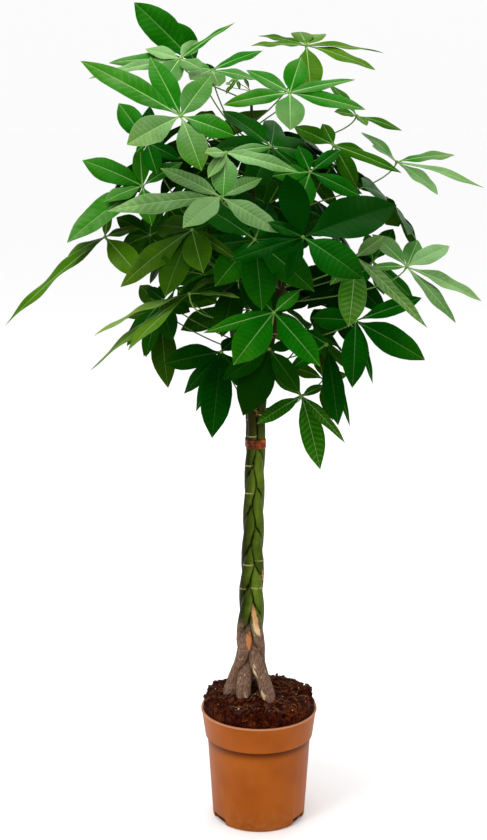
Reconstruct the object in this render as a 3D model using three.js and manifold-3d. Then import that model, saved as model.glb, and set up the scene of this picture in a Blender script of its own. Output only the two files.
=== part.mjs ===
// A braided money tree in a nursery pot. Millimetres, +Z up, X to the right and Y away from the viewer,
// with the origin on the ground at the centre of the pot's underside.
import * as THREE from "three";
import { mergeVertices } from "three/addons/utils/BufferGeometryUtils.js";
import Module from "manifold-3d";

const wasm = await Module();
wasm.setup();

// ---------------------------------------------------------------- driving dimensions

const POT = {
  height: 207,
  rimRadius: 105,
  collarFootRadius: 97.5,
  collarHeight: 50,
  bodyTopRadius: 94,
  baseRadius: 84,
  baseEdge: 3,
  wall: 2,
  floor: 3,
  lip: 3.5,
  lipStep: 1, // the lip stands out over the collar by this much
  lipBevel: 0.6,
  innerShoulder: 1,
  segments: 36,
};
const DRAIN = { count: 3, width: 40, height: 13, depth: 18, outset: 2, firstAngle: 90 };
const CLEARANCE = 0.3; // left between pieces that touch

const MIX = {
  mound: 19,
  edgeRise: 17,
  edgeShare: 0.96, // the heap stands almost upright at its edge
  roughness: 4.5,
  wallGap: 0.6,
  edgeGap: 0.9,
  socketGap: 0.36,
  segments: 24,
  rings: 4,
};

const STEM_COUNT = 5;
const BRAID = {
  rootEnd: 120, // lowest point of a stem, inside the potting mix
  soilLevel: 226,
  foot: 305, // above this height the stems are fully braided
  tie: 700, // middle of the tie band
  end: 726, // above this height the stems part
  pitch: 362, // height of one whole turn of one stem
  phaseHeight: 338, // height at which the first stem crosses the middle
  footX: -18, // the trunk leans a little to the right as it rises
  topX: -7,
  depthRatio: 1.15, // the braid is a little deeper than wide
  gap: 2.4, // between the pressed sides of two stems
};
const SECTION_SIDES = 6;
const RING_STEP = 15;
// Sections above the braid that all the stems share, until they stand clear of each other.
const BRANCH_RISES = [20, 45, 75, 110, 150, 200];

// Half width of the path a stem weaves, and the stem's own radius, at a few heights.
const TRUNK_SIZES = [
  { height: 230, weave: 18, radius: 14 },
  { height: 310, weave: 15.5, radius: 12 },
  { height: 380, weave: 13.5, radius: 10.5 },
  { height: 510, weave: 10.5, radius: 9.2 },
  { height: 700, weave: 9, radius: 8.5 },
];

// Where each stem enters the potting mix, and where its branch ends in the crown.
const STEMS = [
  { foot: [18, -45], top: [-15, 25, 1300] },
  { foot: [14, 18], top: [85, -70, 1150] },
  { foot: [-27, -32], top: [75, 115, 1130] },
  { foot: [-52, -6], top: [-95, 95, 1100] },
  { foot: [-28, 26], top: [-105, -55, 1130] },
];
const STEM_TOP_RADIUS = 3.6;
const BRANCH_SPREAD_POWER = 1.5; // the branches part slowly at first
const BRANCH_TAPER_POWER = 0.7;
const FREE_SHARES = [0.34, 0.67, 1]; // sections between the last shared one and a branch's top

const TIE = {
  height: 15,
  thickness: 1.6,
  slack: 0.9,
  segments: 24,
  directions: 180, // in which the stems' reach is measured
  leastShare: 0.3, // of a direction, below which it doesn't bound the band
};

const LEAFLET = {
  widthRatio: 0.34,
  fold: THREE.MathUtils.degToRad(13),
  arch: 0.06,
  ribThickness: 1.6,
  stalkHalfWidth: 1.8,
  stalkStart: 4, // distance from the middle of the hub
};
// Share of the midrib's length, and of the half width, at each section of a leaflet.
const LEAFLET_SECTIONS = [
  { along: 0.36, width: 0.86 },
  { along: 0.74, width: 0.88 },
];
const PETIOLE = {
  hubRadius: 2.2,
  stemRadius: 3.4,
  swelling: 0.2, // share of its length that widens towards the stem
  sides: 4,
  steps: 3,
  length: 165, // the usual length, and how far a petiole usually climbs
  climb: 70,
  climbWeight: 0.6,
  outward: 0.3, // how its curve leaves the stem and meets the hub, as shares of its length
  lift: 0.12,
  underHub: 0.25,
  clearance: 0.21,
};
const SEAT = { step: 15, tries: 40, aboveBraid: 30, belowTop: 6, approach: 1.5, passes: 2 };
const HUB_RADIUS = 8;

// A leaf that would meet one already placed slides along the line to this point, so the
// front view keeps its pattern.
const VIEWPOINT = new THREE.Vector3(-28, -2615, 1320);
const SLIDE_STEP = 12;
const LEAF_GAP = 1;
const GAP_SEARCH = 3;
const FRONT_TRIES = 12;

// ---------------------------------------------------------------- the leaves of the front

// hub: where the leaflets meet; facing: the way the upper side looks; tips: how far each tip lies
// to the right, up, and back (minus: forward) from the hub, and the leaflet's width over its length.
const FRONT_LEAVES = [
  {
    hub: [-125, -190, 1265],
    facing: [0, -0.85, 0.5],
    tips: [
      [-159, 84, 45, 0.23],
      [-50, 90, 53, 0.33],
      [46, 61, 36, 0.5],
      [84, -30, -18, 0.38],
      [33, -81, -48, 0.47],
      [-83, -43, -25, 0.48],
    ],
  },
  {
    hub: [-130, -95, 1352],
    facing: [0, -0.7, 0.7],
    tips: [
      [-56, 16, 16, 0.48],
      [29, 29, 29, 0.5],
      [35, -16, -50, 0.5],
      [-116, -6, 20, 0.22],
      [-146, -31, -15, 0.13],
      [90, 58, 10, 0.1],
      [-32, -51, -55, 0.5],
    ],
  },
  {
    hub: [-107, 20, 1345],
    facing: [-0.1, -0.85, 0.5],
    tips: [[-105, 102, 35, 0.36], [-38, 71, 25, 0.5], [-95, 4, 14, 0.32], [42, -32, 40, 0.5]],
  },
  {
    hub: [-80, -35, 1335],
    facing: [0, -0.6, 0.8],
    tips: [
      [84, 32, 42, 0.25],
      [72, -15, -21, 0.32],
      [-34, -15, -50, 0.5],
      [13, -26, -60, 0.47],
      [-53, 7, 30, 0.47],
    ],
  },
  {
    hub: [45, -140, 1300],
    facing: [0, -0.8, 0.6],
    tips: [
      [19, 55, 42, 0.5],
      [-105, -19, -14, 0.25],
      [-69, 35, 26, 0.31],
      [-1, -56, -70, 0.5],
      [119, -26, -20, 0.22],
      [104, 20, 5, 0.18],
    ],
  },
  {
    hub: [75, -20, 1375],
    facing: [0, -0.35, 0.94],
    tips: [
      [-79, 16, 30, 0.28],
      [-92, -1, -20, 0.3],
      [-9, 24, 80, 0.5],
      [25, 20, 80, 0.5],
      [131, -12, 30, 0.21],
      [113, -40, -30, 0.33],
      [6, -78, -62, 0.5],
    ],
  },
  {
    hub: [165, 50, 1260],
    facing: [0.2, -0.6, 0.78],
    tips: [[-45, 53, 50, 0.29], [78, -25, 0, 0.27], [15, -16, -30, 0.5], [-40, 7, -20, 0.5]],
  },
  {
    hub: [230, 0, 1185],
    facing: [0.25, -0.35, 0.9],
    tips: [
      [102, 10, 30, 0.23],
      [145, -42, -30, 0.13],
      [62, -50, -70, 0.31],
      [-56, 47, 65, 0.25],
      [-45, 28, -30, 0.41],
    ],
  },
  {
    hub: [120, -60, 1215],
    facing: [0, -0.8, 0.6],
    tips: [
      [-65, 29, 22, 0.4],
      [-18, 34, 25, 0.5],
      [51, -9, 20, 0.32],
      [113, -45, 0, 0.18],
      [38, -68, -20, 0.35],
    ],
  },
  {
    hub: [-55, -215, 1210],
    facing: [0, -0.75, 0.65],
    tips: [
      [76, -16, 0, 0.27],
      [-4, -64, -50, 0.5],
      [-32, 1, -30, 0.48],
      [-27, -36, -40, 0.35],
      [70, 7, 30, 0.25],
      [114, -29, -40, 0.19],
    ],
  },
  {
    hub: [-64, -160, 1138],
    facing: [0, -0.7, 0.7],
    tips: [
      [-181, -22, 0, 0.24],
      [-59, -44, -50, 0.5],
      [93, -53, -40, 0.33],
      [-98, 43, 43, 0.29],
      [66, 28, 28, 0.38],
    ],
  },
  {
    hub: [-195, -50, 1148],
    facing: [-0.2, -0.6, 0.75],
    tips: [
      [-102, 41, 25, 0.43],
      [66, 38, 26, 0.47],
      [-121, -88, -60, 0.43],
      [-61, -23, -35, 0.5],
      [18, -60, -60, 0.39],
      [-6, 64, 40, 0.38],
    ],
  },
  {
    hub: [-258, -60, 1065],
    facing: [-0.3, -0.5, 0.8],
    tips: [
      [-167, -145, -30, 0.13],
      [-59, -30, -40, 0.38],
      [7, 43, 20, 0.39],
      [59, 14, 10, 0.43],
      [61, -59, -60, 0.43],
    ],
  },
  {
    hub: [-110, -150, 1085],
    facing: [-0.35, -0.5, 0.78],
    tips: [
      [-117, -92, 0, 0.38],
      [-42, -100, -55, 0.45],
      [19, -60, -70, 0.5],
      [76, -47, -40, 0.21],
      [-59, -1, 80, 0.47],
    ],
  },
  {
    hub: [-115, -165, 985],
    facing: [0, -0.03, 1],
    tips: [
      [-152, -64, -30, 0.21],
      [-158, -118, -45, 0.17],
      [-95, -81, -70, 0.29],
      [81, -3, -30, 0.32],
      [62, 27, 60, 0.22],
    ],
  },
  {
    hub: [-170, 0, 935],
    facing: [-0.35, -0.7, 0.6],
    tips: [
      [13, -130, -40, 0.31],
      [-27, -74, -50, 0.28],
      [-58, -17, 14, 0.35],
      [27, 1, -13, 0.5],
      [-39, 35, 50, 0.43],
    ],
  },
  {
    hub: [-65, -80, 875],
    facing: [0, -0.85, 0.5],
    tips: [
      [-97, -19, -11, 0.46],
      [-16, -144, -20, 0.35],
      [-44, -107, 20, 0.21],
      [-65, -80, 40, 0.24],
      [48, -61, -36, 0.37],
      [24, 17, 40, 0.5],
    ],
  },
  {
    hub: [15, -110, 885],
    facing: [0, -0.9, 0.4],
    tips: [
      [-44, -109, -20, 0.49],
      [-78, -48, -21, 0.35],
      [50, -67, -30, 0.36],
      [-49, 30, 13, 0.5],
      [44, 9, 4, 0.41],
    ],
  },
  {
    hub: [20, -205, 960],
    facing: [0, -0.85, 0.5],
    tips: [
      [-64, -76, -45, 0.5],
      [72, -78, -46, 0.35],
      [-112, -30, -18, 0.21],
      [-42, 41, 24, 0.48],
      [42, 33, 20, 0.41],
    ],
  },
  {
    hub: [65, -215, 1080],
    facing: [0, -0.8, 0.6],
    tips: [
      [149, 47, 40, 0.5],
      [-114, -34, -26, 0.23],
      [91, -59, -50, 0.48],
      [-26, -63, -30, 0.31],
      [-26, 95, 40, 0.43],
      [-55, 22, 20, 0.35],
    ],
  },
  {
    hub: [150, -180, 1045],
    facing: [0.2, -0.85, 0.5],
    tips: [[-11, -108, -25, 0.41], [115, -111, -20, 0.14], [-42, -40, -33, 0.32], [47, 30, 30, 0.39]],
  },
  {
    hub: [240, -100, 1020],
    facing: [0.25, -0.55, 0.78],
    tips: [
      [122, -54, -20, 0.27],
      [76, -85, -55, 0.23],
      [75, 30, 40, 0.41],
      [24, 38, 60, 0.44],
      [-54, 49, 45, 0.43],
      [-59, 1, -20, 0.28],
    ],
  },
  {
    hub: [155, -130, 935],
    facing: [0.2, -0.85, 0.45],
    tips: [
      [115, -64, -7, 0.35],
      [-5, -108, -20, 0.42],
      [32, -109, 20, 0.13],
      [-73, 7, -14, 0.5],
      [113, 32, 43, 0.23],
    ],
  },
  {
    hub: [110, -95, 890],
    facing: [0.1, -0.9, 0.4],
    tips: [[20, -134, -20, 0.27], [-63, -39, -24, 0.28], [-36, 23, 6, 0.5], [43, -146, 25, 0.1]],
  },
  {
    hub: [70, -85, 800],
    facing: [0.1, -0.65, 0.72],
    tips: [
      [-76, -39, -40, 0.29],
      [31, -120, -30, 0.33],
      [70, -66, -62, 0.18],
      [-53, 48, 20, 0.47],
      [39, 17, 10, 0.39],
    ],
  },
  {
    hub: [110, -10, 815],
    facing: [0.3, -0.5, 0.8],
    tips: [[15, -64, -40, 0.44], [-60, 23, 0, 0.5], [-10, 37, 60, 0.4], [42, 7, 0, 0.5]],
  },
  {
    hub: [-186, -60, 1219],
    facing: [-0.2, -0.8, 0.55],
    tips: [
      [-50, 63, 56, 0.41],
      [4, 59, 20, 0.4],
      [-18, -15, -6, 0.5],
      [18, -48, -38, 0.5],
      [55, -26, -32, 0.34],
    ],
  },
  {
    hub: [80, -100, 1174],
    facing: [0.1, -0.8, 0.6],
    tips: [
      [81, -38, -25, 0.35],
      [50, 34, 32, 0.37],
      [-19, 40, 28, 0.5],
      [-62, -6, -12, 0.45],
      [-23, -62, -49, 0.5],
    ],
  },
  {
    hub: [192, -10, 1018],
    facing: [0.3, -0.7, 0.6],
    tips: [
      [39, 50, 59, 0.38],
      [-8, 45, 35, 0.49],
      [18, -54, -20, 0.5],
      [72, -68, -10, 0.29],
      [-42, -34, -47, 0.46],
    ],
  },
  {
    hub: [-164, -40, 957],
    facing: [-0.35, -0.75, 0.55],
    tips: [
      [-61, -76, -20, 0.25],
      [-27, -89, -53, 0.27],
      [17, -63, -54, 0.41],
      [47, -16, -33, 0.48],
      [-27, 17, 25, 0.5],
    ],
  },
  {
    hub: [143, -60, 1003],
    facing: [0.05, -0.8, 0.6],
    tips: [
      [-94, -7, -11, 0.42],
      [-68, -54, -45, 0.42],
      [-26, -72, -56, 0.42],
      [66, -64, -44, 0.42],
      [49, 37, 31, 0.44],
      [-61, 44, 29, 0.44],
    ],
  },
  {
    hub: [-184, -40, 1066],
    facing: [-0.15, -0.8, 0.58],
    tips: [
      [-59, 27, 31, 0.44],
      [-47, -19, -5, 0.44],
      [2, 49, 35, 0.42],
      [47, 21, 7, 0.42],
      [2, -51, -37, 0.4],
    ],
  },
];

// The leaves of the inside and of the back stand in tiers, turned outwards. Angles are in degrees
// from +X, and the front is at 270. The tiers are narrower from side to side than front to back.
const TIER_CENTRE = -25;
const TIER_SIDEWAYS = 0.72;
const TIERS = [
  { height: 1180, reach: 70, leaves: 1, firstAngle: 320, lastAngle: 320, length: 105 },
  { height: 1105, reach: 100, leaves: 3, firstAngle: 200, lastAngle: 345, length: 115 },
  { height: 1020, reach: 90, leaves: 3, firstAngle: 208, lastAngle: 330, length: 98 },
  { height: 1200, reach: 150, leaves: 2, firstAngle: 48, lastAngle: 130, length: 120 },
  { height: 1180, reach: 205, leaves: 3, firstAngle: 18, lastAngle: 165, length: 125 },
  { height: 1080, reach: 235, leaves: 3, firstAngle: 12, lastAngle: 158, length: 130 },
  { height: 975, reach: 220, leaves: 3, firstAngle: 15, lastAngle: 158, length: 130 },
  { height: 885, reach: 145, leaves: 2, firstAngle: 42, lastAngle: 95, length: 115 },
];
const TIER_LEAF = {
  leaflets: [7, 6, 7, 5, 6],
  droop: 0.28, // share of a leaflet's length
  widthRatio: 0.36,
  facingOut: 0.75,
  facingUp: 0.66,
  innerShorter: 0.22, // the leaflets that point back to the trunk are shorter by this share
  angleSpread: 9,
  reachSpread: 0.12,
  heightSpread: 22,
  lengthSpread: 0.12,
  tries: 6,
  turns: [0, 20, -20].map(THREE.MathUtils.degToRad),
  scales: [1, 0.85, 0.72, 0.6],
};

// ---------------------------------------------------------------- materials

const finish = (color, roughness) => new THREE.MeshStandardMaterial({ color, roughness, metalness: 0 });
const MATERIALS = {
  pot: finish(0xb4622d, 0.55),
  mix: finish(0x2e1711, 0.95),
  stem: finish(0x4c5a23, 0.7),
  tie: finish(0x8c3a1c, 0.6),
  leaf: finish(0x2f7a24, 0.4),
};

// ---------------------------------------------------------------- solids

// A closed three.js geometry as a solid.
function solidOf(geometry) {
  const bare = geometry.clone();
  bare.deleteAttribute("normal");
  bare.deleteAttribute("uv");
  const merged = mergeVertices(bare, 1e-4);
  const vertProperties = merged.attributes.position.array;
  const triVerts = new Uint32Array(merged.index.array);
  return new wasm.Manifold(new wasm.Mesh({ numProp: 3, vertProperties, triVerts }));
}

// A solid as a three.js geometry.
function geometryOf(solid) {
  const mesh = solid.getMesh();
  const geometry = new THREE.BufferGeometry();
  geometry.setAttribute("position", new THREE.BufferAttribute(new Float32Array(mesh.vertProperties), 3));
  geometry.setIndex(new THREE.BufferAttribute(new Uint32Array(mesh.triVerts), 1));
  geometry.computeVertexNormals();
  return geometry;
}

// A closed skin over a row of rings, each with the same number of points, counter-clockwise seen
// from the far end of the row. A last ring may be a single point.
function loft(rings) {
  const sides = rings[0].length;
  const positions = rings.flat().flatMap((point) => [point.x, point.y, point.z]);
  const index = [];
  for (let side = 1; side < sides - 1; side++) index.push(0, side + 1, side);
  let start = 0;
  for (let ring = 1; ring < rings.length; ring++) {
    const next = start + sides;
    for (let side = 0; side < sides; side++) {
      const other = (side + 1) % sides;
      if (rings[ring].length === 1) {
        index.push(start + side, start + other, next);
      } else {
        index.push(start + side, start + other, next + other);
        index.push(start + side, next + other, next + side);
      }
    }
    start = next;
  }
  if (rings.at(-1).length > 1) {
    for (let side = 1; side < sides - 1; side++) index.push(start, start + side, start + side + 1);
  }
  const geometry = new THREE.BufferGeometry();
  geometry.setAttribute("position", new THREE.Float32BufferAttribute(positions, 3));
  geometry.setIndex(index);
  return geometry;
}

// ---------------------------------------------------------------- pot

function pot() {
  const collarFoot = POT.height - POT.collarHeight;
  const innerSlope = (POT.bodyTopRadius - POT.baseRadius) / collarFoot;
  const innerRadius = (height) => POT.baseRadius - POT.wall + innerSlope * height;
  const profile = [
    [0, 0],
    [POT.baseRadius - POT.baseEdge, 0],
    [POT.baseRadius, POT.baseEdge],
    [POT.bodyTopRadius, collarFoot],
    [POT.collarFootRadius, collarFoot],
    [POT.rimRadius - POT.lipStep, POT.height - POT.lip],
    [POT.rimRadius, POT.height - POT.lip + POT.lipBevel],
    [POT.rimRadius, POT.height],
    [POT.rimRadius - POT.lip, POT.height],
    [innerRadius(collarFoot) + POT.innerShoulder, collarFoot + POT.lip],
    [innerRadius(collarFoot) - POT.innerShoulder, collarFoot - POT.lip],
    [innerRadius(POT.floor), POT.floor],
    [0, POT.floor],
  ].map(([radius, height]) => new THREE.Vector2(radius, height));
  const shell = new THREE.LatheGeometry(profile, POT.segments).rotateX(Math.PI / 2);
  let solid = solidOf(shell);
  const slot = new THREE.BoxGeometry(DRAIN.depth, DRAIN.width, DRAIN.height * 2);
  slot.translate(POT.baseRadius + DRAIN.outset, 0, 0);
  for (let drain = 0; drain < DRAIN.count; drain++) {
    const angle = THREE.MathUtils.degToRad(DRAIN.firstAngle + (360 / DRAIN.count) * drain);
    solid = solid.subtract(solidOf(slot.clone().rotateZ(angle)));
  }
  return solid;
}

// ---------------------------------------------------------------- stems

// The value of a property of TRUNK_SIZES at a height.
function trunkSize(property, height) {
  const above = TRUNK_SIZES.findIndex((size) => size.height >= height);
  if (above === 0) return TRUNK_SIZES[0][property];
  if (above < 0) return TRUNK_SIZES.at(-1)[property];
  const low = TRUNK_SIZES[above - 1];
  const high = TRUNK_SIZES[above];
  return THREE.MathUtils.mapLinear(height, low.height, high.height, low[property], high[property]);
}

// The middle of a stem inside the braid: it weaves once from side to side while it goes twice
// from front to back.
function braidPoint(stem, height) {
  const woven = Math.min(height, BRAID.tie);
  const turn = (BRAID.phaseHeight - woven) / BRAID.pitch + stem / STEM_COUNT;
  const angle = 2 * Math.PI * turn;
  const weave = trunkSize("weave", height);
  const axisX = THREE.MathUtils.mapLinear(woven, BRAID.soilLevel, BRAID.tie, BRAID.footX, BRAID.topX);
  return new THREE.Vector3(
    axisX + weave * Math.sin(angle),
    -weave * BRAID.depthRatio * Math.sin(2 * angle),
    height,
  );
}

// The middle of a stem at any height up to its top.
function stemPoint(stem, height) {
  const { foot, top } = STEMS[stem];
  if (height <= BRAID.end) {
    const woven = THREE.MathUtils.smoothstep(height, BRAID.soilLevel, BRAID.foot);
    const footPoint = new THREE.Vector3(foot[0], foot[1], height);
    return footPoint.lerp(braidPoint(stem, Math.max(height, BRAID.soilLevel)), woven).setZ(height);
  }
  const start = braidPoint(stem, BRAID.end);
  const rise = (height - BRAID.end) / (top[2] - BRAID.end);
  const spread = rise ** BRANCH_SPREAD_POWER;
  return new THREE.Vector3(
    THREE.MathUtils.lerp(start.x, top[0], spread),
    THREE.MathUtils.lerp(start.y, top[1], spread),
    height,
  );
}

function stemRadius(stem, height) {
  if (height <= BRAID.end) return trunkSize("radius", height);
  const rise = (height - BRAID.end) / (STEMS[stem].top[2] - BRAID.end);
  return THREE.MathUtils.lerp(TRUNK_SIZES.at(-1).radius, STEM_TOP_RADIUS, rise ** BRANCH_TAPER_POWER);
}

// The outline of a stem at a height: round, but pressed flat where its neighbours touch it.
function stemRing(stem, height, grow = 0) {
  const middle = stemPoint(stem, height);
  const others = STEMS.map((row, other) => other)
    .filter((other) => other !== stem && height <= STEMS[other].top[2])
    .map((other) => stemPoint(other, height).sub(middle));
  const ring = [];
  for (let side = 0; side < SECTION_SIDES; side++) {
    const angle = (2 * Math.PI * side) / SECTION_SIDES;
    const direction = new THREE.Vector3(Math.cos(angle), Math.sin(angle), 0);
    let radius = stemRadius(stem, height);
    for (const other of others) {
      const reach = other.length() / 2 - BRAID.gap / 2;
      const towards = direction.dot(other) / other.length();
      if (towards > 0) radius = Math.min(radius, reach / towards);
    }
    ring.push(middle.clone().addScaledVector(direction, radius + grow));
  }
  return ring;
}

function stemHeights(stem) {
  const top = STEMS[stem].top[2];
  const steps = Math.round((BRAID.end - BRAID.soilLevel) / RING_STEP);
  const braided = Array.from({ length: steps + 1 }, (_, step) =>
    THREE.MathUtils.lerp(BRAID.soilLevel, BRAID.end, step / steps),
  );
  const parting = BRANCH_RISES.map((rise) => BRAID.end + rise);
  const free = FREE_SHARES.map((share) => THREE.MathUtils.lerp(parting.at(-1), top, share));
  return [BRAID.rootEnd, BRAID.soilLevel - RING_STEP, ...braided, ...parting, ...free];
}

function stemSolid(stem, grow = 0) {
  const rings = stemHeights(stem).map((height) => stemRing(stem, height, grow));
  const tip = stemPoint(stem, STEMS[stem].top[2]);
  rings.push([tip.setZ(tip.z + STEM_TOP_RADIUS)]);
  return solidOf(loft(rings));
}

// All the stems. Where two cross in the braid, the later one is hollowed a little by the earlier.
function braidedStems() {
  const stems = [];
  for (let stem = 0; stem < STEM_COUNT; stem++) {
    let solid = stemSolid(stem);
    for (let other = 0; other < stem; other++) solid = solid.subtract(stemSolid(other, CLEARANCE));
    stems.push(solid);
  }
  return stems;
}

// The room that a stem takes up in the potting mix.
function socketSolid(stem) {
  const heights = stemHeights(stem).filter((height) => height < BRAID.foot);
  const rings = heights.map((height) => stemRing(stem, height, MIX.socketGap));
  for (const point of rings[0]) point.z -= CLEARANCE;
  return solidOf(loft(rings));
}

// ---------------------------------------------------------------- potting mix

// A repeatable ragged number from -1 to 1 for a place on the potting mix.
function ragged(a, b) {
  const wave = Math.sin(a * 12.9898 + b * 78.233) * 43758.5453;
  return 2 * (wave - Math.floor(wave)) - 1;
}

function pottingMix(sockets) {
  const wallRadius = (height) =>
    POT.baseRadius -
    POT.wall +
    ((POT.bodyTopRadius - POT.baseRadius) * height) / (POT.height - POT.collarHeight) -
    MIX.wallGap;
  const bottom = POT.floor + CLEARANCE;
  const collarFoot = POT.height - POT.collarHeight;
  const edge = POT.rimRadius - POT.lip - MIX.edgeGap;
  const levels = [
    { radius: wallRadius(bottom), height: bottom },
    { radius: wallRadius(collarFoot) - POT.innerShoulder, height: collarFoot - POT.lip },
    { radius: wallRadius(collarFoot), height: collarFoot + POT.lip },
    { radius: edge, height: POT.height },
  ];
  const rings = levels.map(({ radius, height }) => circle(radius, height));
  for (let ring = 0; ring < MIX.rings; ring++) {
    const share = MIX.edgeShare * (1 - ring / MIX.rings);
    const radius = edge * share;
    const height = POT.height + MIX.edgeRise + MIX.mound * (1 - share ** 2);
    const rough = circle(radius, height);
    rough.forEach((point, side) => {
      point.z += MIX.roughness * ragged(side, ring);
    });
    rings.push(rough);
  }
  rings.push([new THREE.Vector3(0, 0, POT.height + MIX.edgeRise + MIX.mound)]);
  let solid = solidOf(loft(rings));
  for (const socket of sockets) solid = solid.subtract(socket);
  return solid;
}

function circle(radius, height) {
  return Array.from({ length: MIX.segments }, (_, side) => {
    const angle = (2 * Math.PI * side) / MIX.segments;
    return new THREE.Vector3(radius * Math.cos(angle), radius * Math.sin(angle), height);
  });
}

// ---------------------------------------------------------------- tie

// A band pulled tight round all the stems.
function tieBand() {
  const low = BRAID.tie - TIE.height / 2;
  const high = BRAID.tie + TIE.height / 2;
  const margin = RING_STEP;
  const heights = STEMS.flatMap((row, stem) => stemHeights(stem))
    .filter((height) => height > low - margin && height < high + margin)
    .concat(low, high);
  const points = STEMS.flatMap((row, stem) => heights.flatMap((height) => stemRing(stem, height)));
  const middle = new THREE.Vector3(BRAID.topX, 0, 0);
  const support = (angle) => {
    const direction = new THREE.Vector3(Math.cos(angle), Math.sin(angle), 0);
    return Math.max(...points.map((point) => point.clone().sub(middle).setZ(0).dot(direction)));
  };
  const angles = Array.from({ length: TIE.segments }, (_, side) => (2 * Math.PI * side) / TIE.segments);
  const fine = Array.from({ length: TIE.directions }, (_, side) => (2 * Math.PI * side) / TIE.directions);
  const reach = (angle, extra) =>
    Math.min(
      ...fine
        .filter((other) => Math.cos(other - angle) > TIE.leastShare)
        .map((other) => (support(other) + extra) / Math.cos(other - angle)),
    );
  const outline = (extra, height) =>
    angles.map((angle) => {
      const radius = reach(angle, extra);
      return new THREE.Vector3(
        middle.x + radius * Math.cos(angle),
        middle.y + radius * Math.sin(angle),
        height,
      );
    });
  const outer = solidOf(loft([low, high].map((height) => outline(TIE.slack + TIE.thickness, height))));
  const inner = solidOf(loft([low - 1, high + 1].map((height) => outline(TIE.slack, height))));
  return outer.subtract(inner);
}

// ---------------------------------------------------------------- leaves

// One leaflet: a thin blade with its sides folded up a little along an arching midrib.
function leaflet(hub, { tip, widthRatio }, facing) {
  const length = tip.distanceTo(hub);
  const halfWidth = (length * widthRatio) / 2;
  const control = hub.clone().lerp(tip, 0.5).addScaledVector(facing, LEAFLET.arch * length);
  const midrib = new THREE.QuadraticBezierCurve3(hub, control, tip);
  const stalk = { along: LEAFLET.stalkStart / length, width: LEAFLET.stalkHalfWidth / halfWidth };
  const rings = [stalk, ...LEAFLET_SECTIONS].map(({ along, width }) => {
    const middle = midrib.getPoint(along);
    const forward = midrib.getTangent(along);
    const side = new THREE.Vector3().crossVectors(forward, facing).normalize();
    const up = new THREE.Vector3().crossVectors(side, forward);
    const reach = halfWidth * width;
    const edge = (hand) =>
      middle
        .clone()
        .addScaledVector(side, hand * reach * Math.cos(LEAFLET.fold))
        .addScaledVector(up, reach * Math.sin(LEAFLET.fold));
    const half = LEAFLET.ribThickness / 2;
    return [
      edge(1),
      middle.clone().addScaledVector(up, half),
      edge(-1),
      middle.clone().addScaledVector(up, -half),
    ].reverse();
  });
  rings.push([tip]);
  return solidOf(loft(rings));
}

// The places on the stems where a leaf's petiole can start, those of the most usual length first.
function petioleSeats(hub) {
  const seats = [];
  for (let stem = 0; stem < STEM_COUNT; stem++) {
    const top = STEMS[stem].top[2];
    for (let height = BRAID.end + SEAT.aboveBraid; height < top - SEAT.belowTop; height += SEAT.step) {
      const middle = stemPoint(stem, height);
      const axis = stemPoint(stem, height + 1).sub(middle).normalize();
      const out = hub.clone().sub(middle);
      out.addScaledVector(axis, -out.dot(axis)).normalize();
      const far = Math.abs(middle.distanceTo(hub) - PETIOLE.length);
      const climb = Math.abs(hub.z - height - PETIOLE.climb);
      seats.push({ score: far + climb * PETIOLE.climbWeight, stem, height, middle, out });
    }
  }
  return seats.sort((a, b) => a.score - b.score);
}

// The stalk of a whole leaf, from a distance beside the middle of its stem to the hub.
function petiole({ hub, facing }, { middle, out }, distance) {
  const start = middle.clone().addScaledVector(out, distance);
  const length = hub.distanceTo(start);
  const lift = new THREE.Vector3(0, 0, 1);
  const path = new THREE.CubicBezierCurve3(
    start,
    start
      .clone()
      .addScaledVector(out, length * PETIOLE.outward)
      .addScaledVector(lift, length * PETIOLE.lift),
    hub.clone().addScaledVector(facing, -length * PETIOLE.underHub),
    hub,
  );
  const rings = [];
  for (let step = 0; step <= PETIOLE.steps; step++) {
    const along = step / PETIOLE.steps;
    const point = path.getPoint(along);
    const forward = step ? path.getTangent(along) : out;
    const side = new THREE.Vector3().crossVectors(forward, lift).normalize();
    const up = new THREE.Vector3().crossVectors(side, forward);
    const swell = Math.max(0, 1 - along / PETIOLE.swelling);
    const radius = THREE.MathUtils.lerp(PETIOLE.hubRadius, PETIOLE.stemRadius, swell);
    rings.push(
      Array.from({ length: PETIOLE.sides }, (_, corner) => {
        const angle = (2 * Math.PI * corner) / PETIOLE.sides;
        return point
          .clone()
          .addScaledVector(side, -radius * Math.cos(angle))
          .addScaledVector(up, radius * Math.sin(angle));
      }),
    );
  }
  return solidOf(loft(rings));
}

// The stalk brought up to the skin of its stem.
function seatedPetiole(leaf, seat, stems) {
  let distance = stemRadius(seat.stem, seat.height) + SEAT.approach;
  for (let pass = 0; pass < SEAT.passes; pass++) {
    const gap = petiole(leaf, seat, distance).minGap(stems[seat.stem], GAP_SEARCH);
    distance -= gap - CLEARANCE;
  }
  return petiole(leaf, seat, distance);
}

// The leaflets of a leaf, joined at the hub.
function bladesSolid({ hub, facing, blades }) {
  const centre = new THREE.OctahedronGeometry(HUB_RADIUS).translate(hub.x, hub.y, hub.z);
  let solid = solidOf(centre);
  for (const blade of blades) solid = solid.add(leaflet(hub, blade, facing));
  return solid;
}

// A row of FRONT_LEAVES as points. A tip with no third number lies in the plane that the leaf faces.
function frontLeaf(row) {
  const hub = new THREE.Vector3(...row.hub);
  const facing = new THREE.Vector3(...row.facing).normalize();
  const blades = row.tips.map(([right, up, back, widthRatio = LEAFLET.widthRatio]) => {
    const depth = back ?? -(facing.x * right + facing.z * up) / facing.y;
    return { tip: new THREE.Vector3(right, depth, up).add(hub), widthRatio };
  });
  const sight = VIEWPOINT.clone().sub(hub).normalize();
  return { hub, facing, blades, free: [sight], tries: FRONT_TRIES, turns: [0], scales: [1] };
}

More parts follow.
